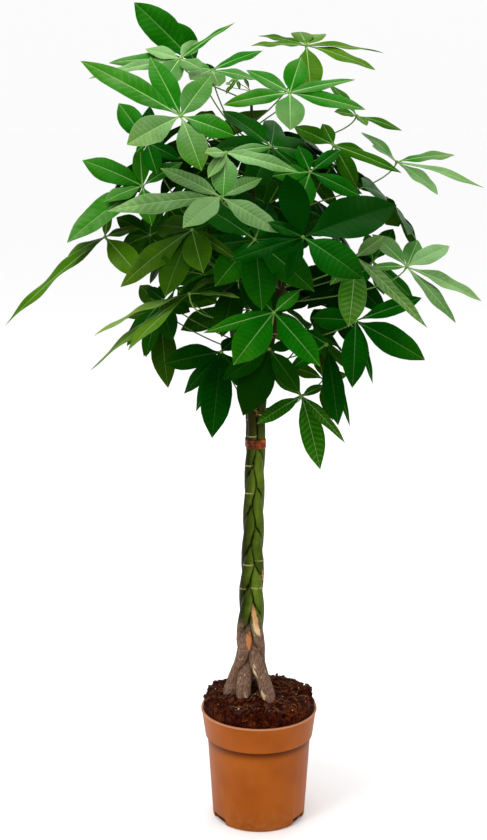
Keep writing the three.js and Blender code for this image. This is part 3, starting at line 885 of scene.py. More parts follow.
@dataclass
class NurseryPot:
    """The moulded pot: a tapered body, a step, a flared collar with a lip, three drain notches."""

    height: float = 0.207
    rim_radius: float = 0.105
    collar_foot_radius: float = 0.0975
    collar_height: float = 0.05
    body_top_radius: float = 0.094
    base_radius: float = 0.084
    base_edge: float = 0.003
    wall: float = 0.002
    floor: float = 0.003
    lip: float = 0.0035
    sides: int = 128
    notch_angles: tuple[float, ...] = (90.0, 210.0, 330.0)
    notch_size: tuple[float, float, float] = (0.018, 0.04, 0.026)
    notch_reach: float = 0.002
    notch_round: float = 0.004
    bevel: float = 0.0007
    bevel_from: float = 32
    sharp_from: float = 35
    plastic: MouldedPlastic = field(default_factory=MouldedPlastic)

    def build(self) -> None:
        """Models, dresses and hands over the pot."""
        piece = self._shell()
        self._cut_notches(piece)
        modified(
            piece,
            "BEVEL",
            width=self.bevel,
            segments=2,
            limit_method="ANGLE",
            angle_limit=math.radians(self.bevel_from),
        )
        dress(piece, self.plastic.make(), self.sharp_from)
        hand_over(piece, "pot", "pot")

    def _profile(self) -> list[tuple[float, float]]:
        """Radius and height of each ring after the first, up the outside and down the inside."""
        foot = self.height - self.collar_height
        inner_top = self.body_top_radius - self.wall
        inner_base = self.base_radius - self.wall
        lip_foot = self.height - self.lip
        return [
            (self.base_radius, self.base_edge),
            (self.body_top_radius - 0.0002, foot - 0.0012),
            (self.body_top_radius + 0.0004, foot),
            (self.collar_foot_radius, foot),
            (self.rim_radius - 0.0011, lip_foot),
            (self.rim_radius, lip_foot + 0.0003),
            (self.rim_radius, self.height),
            (self.rim_radius - self.lip, self.height),
            (self.rim_radius - self.lip - 0.0008, lip_foot),
            (inner_top + 0.001, foot + self.lip),
            (inner_top - 0.001, foot - self.lip),
            (inner_base, self.floor),
        ]

    def _shell(self) -> Piece:
        """Extrudes the pot ring by ring from the disc of its underside."""
        radius = self.base_radius - self.base_edge
        piece = fresh(
            bpy.ops.mesh.primitive_circle_add,
            "nursery_pot",
            vertices=self.sides,
            radius=radius,
            fill_type="NGON",
        )
        height = 0.0
        with editing(piece):
            bpy.ops.mesh.select_all(action="SELECT")
            for next_radius, next_height in self._profile():
                rise = (0, 0, next_height - height)
                bpy.ops.mesh.extrude_region_move(TRANSFORM_OT_translate={"value": rise})
                share = next_radius / radius
                bpy.ops.transform.resize(
                    value=(share, share, 1), center_override=(0, 0, next_height)
                )
                radius, height = next_radius, next_height
            bpy.ops.mesh.inset(thickness=radius * 0.5)
            bpy.ops.mesh.select_all(action="SELECT")
            bpy.ops.mesh.normals_make_consistent(inside=False)
        return piece

    def _cut_notches(self, piece: Piece) -> None:
        """Cuts the drain notches out of the foot.

        Args:
            piece: The pot.
        """
        for angle in self.notch_angles:
            cutter = fresh(bpy.ops.mesh.primitive_cube_add, "notch", size=1)
            turn = Matrix.Rotation(math.radians(angle), 4, "Z")
            reach = Matrix.Translation((self.base_radius + self.notch_reach, 0, 0))
            cutter.data.transform(turn @ reach @ Matrix.Diagonal((*self.notch_size, 1)))
            modified(cutter, "BEVEL", width=self.notch_round, segments=4)
            modified(piece, "BOOLEAN", object=cutter, operation="DIFFERENCE", solver="EXACT")
            discard(cutter)


# ------------------------------------------------------------------ woven stems


@dataclass(frozen=True)
class StemEnds:
    """Where a stem enters the potting mix, where its branch ends, and how light its bark is."""

    foot: tuple[float, float]
    top: tuple[float, float, float]
    tone: float


@dataclass(frozen=True)
class Peel:
    """A patch where the bark has come off: its middle seen from the front, half sizes, lean
    and how creamy its wood is."""

    x: float
    z: float
    half_width: float
    half_height: float
    lean: float = 0.0
    cream: float = 0.0


@dataclass
class BraidedTrunk:
    """Five stems woven round each other up to the tie, and parting above it.

    Each row of sizes gives a height, the braid's half width and a stem's radius. The foot is where
    the weave is complete, phase_height where the first stem crosses the axis.
    """

    root_end: float = 0.12
    soil_level: float = 0.226
    foot: float = 0.305
    tie: float = 0.7
    end: float = 0.726
    pitch: float = 0.362
    phase_height: float = 0.338
    foot_x: float = -0.018
    top_x: float = -0.007
    depth_ratio: float = 1.15
    gap: float = 0.0006
    top_radius: float = 0.0024
    sides: int = 20
    step: float = 0.004
    sizes: tuple[tuple[float, float, float], ...] = (
        (0.23, 0.018, 0.014),
        (0.31, 0.0155, 0.012),
        (0.38, 0.0135, 0.0105),
        (0.51, 0.0105, 0.0092),
        (0.7, 0.009, 0.0085),
    )
    stems: tuple[StemEnds, ...] = (
        StemEnds((0.018, -0.045), (-0.015, 0.025, 1.3), 0.62),
        StemEnds((0.014, 0.018), (0.085, -0.07, 1.15), 0.5),
        StemEnds((-0.027, -0.032), (0.075, 0.115, 1.13), 0.72),
        StemEnds((-0.052, -0.006), (-0.095, 0.095, 1.1), 0.4),
        StemEnds((-0.028, 0.026), (-0.105, -0.055, 1.13), 0.55),
    )
    sun_width: float = 0.018
    sun_side: float = 0.42
    strand_shade: float = 0.2
    spread_power: float = 1.5
    taper_power: float = 0.7
    press: float = 7.0
    seed: int = 11
    grazing: float = 1e-3
    first_scar: float = 0.04
    scar_gaps: tuple[float, float] = (0.028, 0.06)
    scar_width: float = 0.0022
    scar_swell: float = 0.055
    scar_fade: float = 0.01
    wander: float = 0.025
    wander_scale: float = 22
    cap: float = 0.8
    knob_depths: tuple[float, float] = (0.0006, 0.00025)
    knob_end: float = 0.34
    knob_scale: float = 70
    peel_back: float = 0.004
    peels: tuple[Peel, ...] = (
        Peel(0.0078, 0.452, 0.003, 0.016),
        Peel(-0.0095, 0.39, 0.0045, 0.02, -0.3, 0.45),
        Peel(-0.0045, 0.365, 0.005, 0.012, -0.3, 1.0),
        Peel(-0.0165, 0.338, 0.006, 0.015, -0.1, 0.1),
        Peel(-0.0045, 0.757, 0.004, 0.008),
        Peel(-0.0083, 0.287, 0.0024, 0.011, -0.2, 1.0),
        Peel(0.0068, 0.249, 0.0032, 0.007, -0.2, 1.0),
        Peel(-0.0235, 0.242, 0.003, 0.005, 0.0, 1.0),
    )
    bark: StemBark = field(default_factory=StemBark)

    def size_at(self, column: int, height: float) -> float:
        """The braid's half width (column 1) or a stem's radius (column 2) at a height."""
        heights = [row[0] for row in self.sizes]
        return float(np.interp(height, heights, [row[column] for row in self.sizes]))

    def axis_x(self, height: float) -> float:
        """How far right the trunk's axis lies at a height."""
        share = (min(height, self.tie) - self.soil_level) / (self.tie - self.soil_level)
        return self.foot_x + share * (self.top_x - self.foot_x)

    def braid_point(self, stem: int, height: float) -> Vector:
        """The middle of a stem inside the braid.

        Args:
            stem: Which stem.
            height: The height.

        Returns:
            The point.
        """
        turn = (self.phase_height - min(height, self.tie)) / self.pitch + stem / len(self.stems)
        angle = 2 * math.pi * turn
        weave = self.size_at(1, height)
        x = self.axis_x(height) + weave * math.sin(angle)
        return Vector((x, -weave * self.depth_ratio * math.sin(2 * angle), height))

    def stem_point(self, stem: int, height: float) -> Vector:
        """The middle of a stem at any height.

        Args:
            stem: Which stem.
            height: The height.

        Returns:
            The point.
        """
        ends = self.stems[stem]
        if height <= self.end:
            share = clamp((height - self.soil_level) / (self.foot - self.soil_level))
            target = self.braid_point(stem, max(height, self.soil_level))
            point = Vector((*ends.foot, height)).lerp(target, share * share * (3 - 2 * share))
        else:
            spread = ((height - self.end) / (ends.top[2] - self.end)) ** self.spread_power
            point = self.braid_point(stem, self.end).lerp(Vector(ends.top), spread)
        point.z = height
        return point

    def stem_radius(self, stem: int, height: float) -> float:
        """The radius of a stem at a height."""
        if height <= self.end:
            return self.size_at(2, height)
        rise = (height - self.end) / (self.stems[stem].top[2] - self.end)
        full = self.sizes[-1][2]
        return full + (self.top_radius - full) * min(rise, 1.0) ** self.taper_power

    def pressed_ring(self, stem: int, height: float, swell: float) -> np.ndarray:
        """The outline of a stem at a height, pressed where its neighbours touch it.

        Args:
            stem: Which stem.
            height: The height.
            swell: How much thicker it is here, as a share.

        Returns:
            One row for each side.
        """
        middle = self.stem_point(stem, height)
        ways = compass(self.sides)
        total = np.full(self.sides, self.stem_radius(stem, height) * (1 + swell)) ** -self.press
        for other, ends in enumerate(self.stems):
            if other == stem or height > ends.top[2]:
                continue
            away = np.array((self.stem_point(other, height) - middle).xy)
            far = float(np.hypot(*away))
            towards = ways @ (away / far)
            bound = (far / 2 - self.gap / 2) / np.maximum(towards, self.grazing)
            total = total + np.where(towards > self.grazing, bound**-self.press, 0.0)
        flat = np.array(middle.xy) + ways * (total ** (-1 / self.press))[:, None]
        return np.column_stack([flat, np.full(self.sides, height)])

    def scar_heights(self, stem: int, draw: random.Random) -> list[float]:
        """Where a stem's old leaf rings are.

        Args:
            stem: Which stem.
            draw: The source of random numbers.

        Returns:
            Their heights, lowest first.
        """
        heights = []
        height = self.soil_level + draw.uniform(0.0, self.first_scar)
        while height < self.stems[stem].top[2]:
            heights.append(height)
            height += draw.uniform(*self.scar_gaps)
        return heights

    def build(self) -> None:
        """Models, dresses and hands over the stems."""
        bark = self.bark.make()
        draw = random.Random(self.seed)
        for stem in range(len(self.stems)):
            piece = self._stem(stem, draw)
            dress(piece, bark)
            hand_over(piece, "bark", f"stem_{stem + 1}")

    def _stem(self, stem: int, draw: random.Random) -> Piece:
        """Models one stem from a cylinder that is cut across and laid along its path.

        Args:
            stem: Which stem.
            draw: The source of random numbers.

        Returns:
            The stem.
        """
        length = self.stems[stem].top[2] - self.root_end
        cuts = round(length / self.step)
        rod = {"vertices": self.sides, "radius": 1, "depth": 1, "end_fill_type": "TRIFAN"}
        piece = cut_rod(f"woven_stem_{stem + 1}", cuts, **rod)
        scars = self.scar_heights(stem, draw)
        heights = self.root_end + length * np.arange(cuts + 2) / (cuts + 1)
        for scar in scars:
            heights[1 + np.abs(heights[1:-1] - scar).argmin()] = scar
        template = places_of(piece.data)
        places = template.copy()
        levels = np.round((template[:, 2] + 0.5) * (cuts + 1)).astype(int)
        side = sides_of(template, self.sides)
        core = np.hypot(template[:, 0], template[:, 1]) < 0.5
        scarred = np.ones(len(template))
        crevices = np.zeros(len(template))
        tones = np.full(len(template), self.stems[stem].tone)
        for level, height in enumerate(heights.tolist()):
            near = min((abs(height - scar) for scar in scars), default=1.0)
            swell = self.scar_swell * math.exp(-((near / self.scar_width) ** 2))
            drift = noise.noise(Vector((stem * 3.1, 0, height * self.wander_scale)))
            ring = self.pressed_ring(stem, height, swell + self.wander * drift)
            middle = self.stem_point(stem, height)
            places[(levels == level) & core] = middle
            rows = np.where((levels == level) & ~core)[0]
            own = side[rows]
            places[rows] = ring[own]
            scarred[rows] = min(near / self.scar_fade, 1.0)
            out = np.hypot(*(ring[:, :2] - np.array(middle.xy)).T)
            # How pressed each side of the strand is; the bark paints shade into these creases.
            crevices[rows] = (1 - out / out.max())[own]
            sunny = np.clip((ring[own, 0] - self.axis_x(height)) / self.sun_width, -1, 1)
            tones[rows] += self.sun_side * (0.66 - 1.6 * np.abs(sunny - 0.25))
            east = (ring[own, 0] - middle.x) / self.stem_radius(stem, height)
            tones[rows] += self.strand_shade * east
        places[core & (levels == levels.max()), 2] += self.top_radius * self.cap
        places = self._knobbly(stem, places)
        set_places(piece.data, places)
        peeled, creams = self._peeled(stem, places)
        marks = {"scar": scarred, "crevice": crevices, "tone": tones}
        for name, values in (marks | {"peel": peeled, "cream": creams}).items():
            carry(piece.data, name, values)
        return piece

    def _front_stem(self, peel: Peel) -> int:
        """The stem whose bark lies foremost at a patch."""

        def depth(stem: int) -> float:
            """How far back a stem's bark lies at the patch."""
            middle = self.stem_point(stem, peel.z)
            reach = self.stem_radius(stem, peel.z)
            off = abs(middle.x - peel.x)
            return middle.y - math.sqrt(reach**2 - off**2) if off < reach else 1.0

        return min(range(len(self.stems)), key=depth)

    def _peeled(self, stem: int, places: np.ndarray) -> tuple[np.ndarray, np.ndarray]:
        """How far a stem's bark has peeled, from 0 to 1, and how creamy the wood is there.

        Args:
            stem: Which stem.
            places: The vertices.

        Returns:
            Two rows, each with a number for each vertex.
        """
        peeled = np.zeros(len(places))
        creams = np.zeros(len(places))
        for peel in self.peels:
            if self._front_stem(peel) != stem:
                continue
            up = places[:, 2] - peel.z
            off = ((places[:, 0] - peel.x - up * peel.lean) / peel.half_width) ** 2
            off = off + (up / peel.half_height) ** 2
            own = np.exp(-off * 0.6) * (places[:, 1] < self.peel_back)
            creams = np.where(own > peeled, peel.cream, creams)
            peeled = np.maximum(peeled, own)
        return peeled, creams

    def _knobbly(self, stem: int, places: np.ndarray) -> np.ndarray:
        """Bumps of the bark, larger towards the foot.

        Args:
            stem: Which stem.
            places: The vertices.

        Returns:
            The moved vertices.
        """
        moved = places.copy()
        for row, place in enumerate(places):
            middle = self.stem_point(stem, min(place[2], self.stems[stem].top[2]))
            out = Vector((place[0] - middle.x, place[1] - middle.y, 0))
            if out.length < 1e-6:
                continue
            depth = self.knob_depths[0 if place[2] < self.knob_end else 1]
            wobble = noise.fractal(Vector(place) * self.knob_scale, 1.0, 2.0, 3)
            moved[row] = Vector(place) + out.normalized() * depth * wobble
        return moved


# ------------------------------------------------------------------ tie


@dataclass
class TieBand:
    """Tape wound three times round the stems."""

    trunk: BraidedTrunk
    height: float = 0.015
    slack: float = 0.0002
    thickness: float = 0.0013
    tape_thickness: float = 0.0011
    wrinkling: tuple[float, float] = (0.00025, 0.04)
    turns: int = 3
    sides: int = 72
    rows: int = 18
    sharp_from: float = 50
    tape: TieTape = field(default_factory=TieTape)

    def build(self) -> None:
        """Models, dresses and hands over the band."""
        rod = {"vertices": self.sides, "radius": 1, "depth": 1, "end_fill_type": "NOTHING"}
        piece = cut_rod("tie_band", self.rows - 1, **rod)
        self._wind(piece)
        modified(piece, "SOLIDIFY", thickness=self.tape_thickness, offset=-1)
        dress(piece, self.tape.make(), self.sharp_from)
        hand_over(piece, "tie", "braid_tie")

    def _reaches(self) -> np.ndarray:
        """How far the band's inner outline lies from the trunk's axis on each side."""
        low = self.trunk.tie - self.height / 2
        rings = [
            self.trunk.pressed_ring(stem, height, 0.0)[:, :2]
            for stem in range(len(self.trunk.stems))
            for height in (low, self.trunk.tie, low + self.height)
        ]
        points = np.concatenate(rings) - (self.trunk.top_x, 0)
        support = (points @ compass(360).T).max(axis=0) + self.slack
        reaches = []
        for angle in even_angles(self.sides):
            apart = np.cos(even_angles(360) - angle)
            reaches.append((support[apart > 0.3] / apart[apart > 0.3]).min())
        return np.array(reaches)

    def _wind(self, piece: Piece) -> None:
        """Lays the cylinder's rows round the stems, with a round back to each turn of tape.

        Args:
            piece: The open cylinder.
        """
        template = places_of(piece.data)
        side = sides_of(template, self.sides)
        along = template[:, 2] + 0.5
        back = np.abs(np.sin(np.pi * (along * self.turns + side / self.sides))) ** 0.6
        ends = np.minimum(1, np.minimum(along, 1 - along) * 12)
        spots = zip(np.arctan2(template[:, 1], template[:, 0]), along)
        wrinkle = np.array([noise.noise(Vector((a * 3, z * 5, 2.0))) for a, z in spots])
        out = self._reaches()[side] + self.thickness * (0.45 + 0.5 * back * ends)
        out = out + self.wrinkling[0] * wrinkle
        places = np.empty_like(template)
        places[:, :2] = (self.trunk.top_x, 0) + out[:, None] * compass(self.sides)[side]
        tall = self.height * (1 + self.wrinkling[1] * wrinkle)
        places[:, 2] = self.trunk.tie + (along - 0.5) * tall
        set_places(piece.data, places)


# ------------------------------------------------------------------ potting mix


class BitShape(Enum):
    """What a loose bit is shaped from."""

    CHIP = "chip"
    FIBRE = "fibre"


@dataclass(frozen=True)
class Litter:
    """One kind of loose bit: how many, their half lengths, how unequal, and their finish."""

    name: str
    shape: BitShape
    count: int
    sizes: tuple[float, float]
    spread: float
    finish: LooseBit


@dataclass
class PottingMix:
    """The heap of bark and coir, with loose chips and fibres on it."""

    trunk: BraidedTrunk
    rim_height: float = 0.207
    rim_inner: float = 0.1006
    voxel: float = 0.0026
    skirt: float = 0.012
    blend: float = 0.006
    lumps: float = 0.0042
    crumbs: float = 0.0016
    lift: float = 0.001
    shoulder: tuple[float, float] = (0.075, 0.02)
    shoulder_rise: float = 0.004
    overhang: float = 0.0045
    stem_clearance: float = 0.001
    scales: tuple[float, float] = (55, 210)
    edge_share: float = 0.985
    lowest: float = 0.004
    sounding_height: float = 0.4
    lean: float = 0.35
    slimness: tuple[float, float] = (0.6, 1.1)
    raised: float = 0.1
    seed: int = 23
    sharp_from: float = 40
    mix: DampMix = field(default_factory=DampMix)
    litter: tuple[Litter, ...] = (
        Litter(
            "bark_chips",
            BitShape.CHIP,
            300,
            (0.0025, 0.0085),
            1.9,
            LooseBit(
                "bark_chip",
                (
                    (0.0, (0.008, 0.002, 0.001)),
                    (0.55, (0.035, 0.007, 0.004)),
                    (1.0, (0.14, 0.04, 0.015)),
                ),
            ),
        ),
        Litter(
            "coir_fibres",
            BitShape.FIBRE,
            190,
            (0.004, 0.015),
            1.3,
            LooseBit(
                "coir_fibre",
                ((0.0, (0.05, 0.011, 0.002)), (0.5, (0.2, 0.045, 0.008)), (1.0, (0.4, 0.2, 0.04))),
            ),
        ),
        Litter(
            "pale_bits",
            BitShape.CHIP,
            22,
            (0.0015, 0.004),
            1.6,
            LooseBit(
                "pale_bit",
                ((0.0, (0.25, 0.14, 0.07)), (0.6, (0.5, 0.34, 0.2)), (1.0, (0.68, 0.56, 0.4))),
            ),
        ),
    )

    def build(self) -> None:
        """Models, dresses and hands over the heap and what lies on it."""
        heap = self._heap()
        dress(heap, self.mix.make())
        hand_over(heap, "potting_mix", "potting_mix")
        ground = self._ground(heap)
        draw = random.Random(self.seed)
        for bits in self.litter:
            piece = self._scatter(bits, ground, draw)
            dress(piece, bits.finish.make(), self.sharp_from)
            hand_over(piece, "potting_mix")

    def _heap(self) -> Piece:
        """The CAD heap, remeshed finely and roughened above the rim."""
        piece = merged_copy("potting_mix", "bark_mix")
        modified(piece, "REMESH", mode="VOXEL", voxel_size=self.voxel)
        mesh = piece.data
        places = places_of(mesh)
        normals = np.empty(places.size, np.float64)
        mesh.vertices.foreach_get("normal", normals)
        normals = normals.reshape(-1, 3)
        start, width = self.shoulder
        for row in np.where(places[:, 2] > self.rim_height - self.skirt)[0]:
            place = Vector(places[row])
            above = clamp((place.z - self.rim_height) / self.blend)
            swell = self.lumps * noise.fractal(place * self.scales[0], 0.9, 2.0, 3)
            swell += self.crumbs * noise.fractal(place * self.scales[1], 0.8, 2.0, 2)
            swell += self.lift * above
            moved = place + Vector(normals[row]) * swell * above
            beyond = clamp((math.hypot(place.x, place.y) - start) / width)
            moved = moved + UP * self.shoulder_rise * beyond * above
            limit = self.rim_inner + self.overhang * above
            flat = math.hypot(moved.x, moved.y)
            if flat > limit:
                moved.x *= limit / flat
                moved.y *= limit / flat
            places[row] = moved
        set_places(mesh, places)
        return piece

    @staticmethod
    def _ground(heap: Piece) -> BVHTree:
        """The heap's surface, ready to be sounded from above."""
        mesh = heap.data
        faces = [tuple(polygon.vertices) for polygon in mesh.polygons]
        return BVHTree.FromPolygons([vertex.co.copy() for vertex in mesh.vertices], faces)

    @staticmethod
    def _chip() -> Piece:
        """One chip: a cube, split and roughened to an uneven slab."""
        piece = fresh(bpy.ops.mesh.primitive_cube_add, "chip", size=2)
        with editing(piece):
            bpy.ops.mesh.select_all(action="SELECT")
            bpy.ops.transform.resize(value=(1.0, 0.55, 0.2))
            bpy.ops.mesh.subdivide(number_cuts=1)
        places = places_of(piece.data)
        for row, place in enumerate(places):
            shrink = 1 - 0.3 * abs(ragged(row, 3))
            places[row] = (place[0] * shrink, place[1] * shrink, place[2] * (0.6 + 0.5 * shrink))
        set_places(piece.data, places)
        return piece

    @staticmethod
    def _fibre() -> Piece:
        """One fibre: a thin rod, cut across and bent."""
        piece = cut_rod("fibre", 7, vertices=4, radius=0.022, depth=2)
        x, y, z = places_of(piece.data).T
        bent = (z, x + 0.35 * z**2 + 0.12 * np.sin(5 * z), y + 0.16 * np.cos(2.4 * z))
        set_places(piece.data, np.column_stack(bent))
        with editing(piece):
            bpy.ops.mesh.select_all(action="SELECT")
            bpy.ops.mesh.normals_make_consistent(inside=False)
        return piece

    def _scatter(self, bits: Litter, ground: BVHTree, draw: random.Random) -> Piece:
        """Lays copies of a bit on the heap.

        Args:
            bits: The kind of bit.
            ground: The heap's surface.
            draw: The source of random numbers.

        Returns:
            All the copies as one piece.
        """
        master = self._chip() if bits.shape is BitShape.CHIP else self._fibre()
        small, large = bits.sizes
        copies = []
        while len(copies) < bits.count:
            angle = draw.uniform(0, 2 * math.pi)
            reach = self.rim_inner * math.sqrt(draw.uniform(0, 1)) * self.edge_share
            flat = (reach * math.cos(angle), reach * math.sin(angle))
            spot, normal, _, _ = ground.ray_cast(Vector((*flat, self.sounding_height)), -UP)
            low = self.rim_height - self.lowest
            if spot is None or spot.z < low or self._under_stem(spot):
                continue
            size = small + (large - small) * draw.random() ** bits.spread
            lean = Vector([draw.gauss(0, self.lean) for _ in range(3)])
            upright = (normal + lean).normalized().to_track_quat("Z", "X").to_matrix().to_4x4()
            turn = Matrix.Rotation(draw.uniform(0, 2 * math.pi), 4, "Z")
            scale = Matrix.Diagonal((size, size * draw.uniform(*self.slimness), size, 1))
            made = twin(master, bits.name)
            lift = Matrix.Translation(spot + normal * size * self.raised)
            made.data.transform(lift @ upright @ turn @ scale)
            carry(made.data, "tone", draw.random())
            copies.append(made)
        discard(master)
        return joined(copies, bits.name)

    def _under_stem(self, spot: Vector) -> bool:
        """Whether a spot on the heap lies inside a stem."""
        return any(
            (self.trunk.stem_point(stem, spot.z) - spot).xy.length
            < self.trunk.stem_radius(stem, spot.z) + self.stem_clearance
            for stem in range(len(self.trunk.stems))
        )


# ------------------------------------------------------------------ leaves


@dataclass(frozen=True)
class Leaflet:
    """Where one leaflet lies: its midrib's curve and its half width."""

    hub: Vector
    control: Vector
    tip: Vector
    half_width: float


@dataclass(frozen=True)
class LeafPlan:
    """Where a whole leaf lies."""

    hub: Vector
    facing: Vector
    leaflets: tuple[Leaflet, ...]
    seat: Vector
    out: Vector


@dataclass(frozen=True)
class LeafMood:
    """How light a leaf is, with painted light and shade, how olive, how clearly its side veins show,
    and how broad it is.
    """

    tone: float
    olive: float = 0.0
    veined: float = 0.3
    breadth: float = 1.0


class LeafSurvey:
    """Reads a leaf's plan off its CAD node.

    A CAD leaflet is a row of four-cornered sections that ends in a point. The complete ones, with
    two sections before the point, give the hub. With it each leaflet is known by its arch, also
    where another one cuts it.
    """

    RIB_THICKNESS = 0.0016
    RIB_SLACK = 0.00012
    LOW_SECTION = 0.36
    HIGH_SECTION = 0.74
    HIGH_WIDTH = 0.88
    ARCH = 0.06
    ARCH_SLACK = 0.01
    HUB_REACH = 0.0095

    def __init__(self, node: str) -> None:
        """Joins up the node's triangles.

        Args:
            node: The CAD node.
        """
        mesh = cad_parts[node].data
        index: dict[tuple[int, int, int], int] = {}
        self.points: list[Vector] = []
        own = []
        for vertex in mesh.vertices:
            key = tuple(round(value * 1e6 / 5) for value in vertex.co)
            if key not in index:
                index[key] = len(self.points)
                self.points.append(vertex.co.copy())
            own.append(index[key])
        self.near: list[set[int]] = [set() for _ in self.points]
        for polygon in mesh.polygons:
            corners = [own[vertex] for vertex in polygon.vertices]
            for a, b in zip(corners, corners[1:] + corners[:1]):
                if a != b:
                    self.near[a].add(b)
                    self.near[b].add(a)

    def _rib(self, ring: set[int]) -> Vector | None:
        """The middle of the rib among the corners of a section, or nothing if it isn't one."""
        if len(ring) == 4:
            for a, b in combinations(sorted(ring), 2):
                if abs(self._apart(a, b) - self.RIB_THICKNESS) < self.RIB_SLACK:
                    return (self.points[a] + self.points[b]) / 2
        return None

    def _apart(self, a: int, b: int) -> float:
        """The distance between two points."""
        return (self.points[a] - self.points[b]).length

    def _leaflet(self, tip: int, hub: Vector) -> Leaflet | None:
        """Reads the leaflet that ends at a point, even where another cuts into its last section.

        Args:
            tip: The point.
            hub: The leaf's hub.

        Returns:
            The leaflet, or nothing if none ends there.
        """
        stay, pull, reach = self._weights(self.HIGH_SECTION)
        end = self.points[tip]
        for a, b in combinations(sorted(self.near[tip]), 2):
            if abs(self._apart(a, b) - self.RIB_THICKNESS) > self.RIB_SLACK:
                continue
            middle = (self.points[a] + self.points[b]) / 2
            control = (middle - stay * hub - reach * end) / pull
            arch = (control - (hub + end) / 2).length / max((end - hub).length, self.HUB_REACH)
            if abs(arch - self.ARCH) < self.ARCH_SLACK:
                corners = self.near[tip] - {a, b}
                half = max((self.points[corner] - middle).length for corner in corners)
                return Leaflet(hub, control, end, half / self.HIGH_WIDTH)
        return None

    def read(self) -> LeafPlan:
        """Reads the whole leaf."""
        a, b, c = self._weights(self.LOW_SECTION)
        d, e, f = self._weights(self.HIGH_SECTION)
        used: set[int] = set()
        hubs = []
        for tip, ring in enumerate(self.near):
            last = self._rib(ring)
            if last is None:
                continue
            used |= ring | {tip}
            ring_before = set().union(*(self.near[corner] for corner in ring)) - ring - {tip}
            before = self._rib(ring_before)
            if before is not None:
                used |= ring_before
                first, second = before - c * self.points[tip], last - f * self.points[tip]
                hubs.append((e * first - b * second) / (a * e - b * d))
        hub = Vector(np.median(np.array(hubs), axis=0))
        leaflets = []
        facing = Vector((0, 0, 0))
        for tip, ring in enumerate(self.near):
            leaflet = self._leaflet(tip, hub)
            if leaflet:
                leaflets.append(leaflet)
                used |= ring | {tip}
                facing += (leaflet.control - (hub + leaflet.tip) / 2).normalized()
        seat, out = self._seat(hub, used)
        return LeafPlan(hub, facing.normalized(), tuple(leaflets), seat, out)

    @staticmethod
    def _weights(along: float) -> tuple[float, float, float]:
        """The shares of hub, control and tip in a point of the midrib."""
        return (1 - along) ** 2, 2 * along * (1 - along), along**2

    def _seat(self, hub: Vector, used: set[int]) -> tuple[Vector, Vector]:
        """Reads where the petiole leaves its stem.

        Args:
            hub: The leaf's hub.
            used: The points that belong to leaflets.

        Returns:
            The middle of the petiole's end and the way it leaves the stem.
        """
        rest = [
            point
            for place, point in enumerate(self.points)
            if place not in used and (point - hub).length > self.HUB_REACH
        ]
        far = max(rest, key=lambda point: (point - hub).length)
        cap = sorted(rest, key=lambda point: (point - far).length)[:4]
        seat = sum(cap, Vector((0, 0, 0))) / 4
        across = sorted(cap, key=lambda point: (point - cap[0]).length)
        out = (across[1] - across[0]).cross(across[2] - across[0]).normalized()
        if out.dot(hub - seat) < 0:
            out = -out
        return seat, out


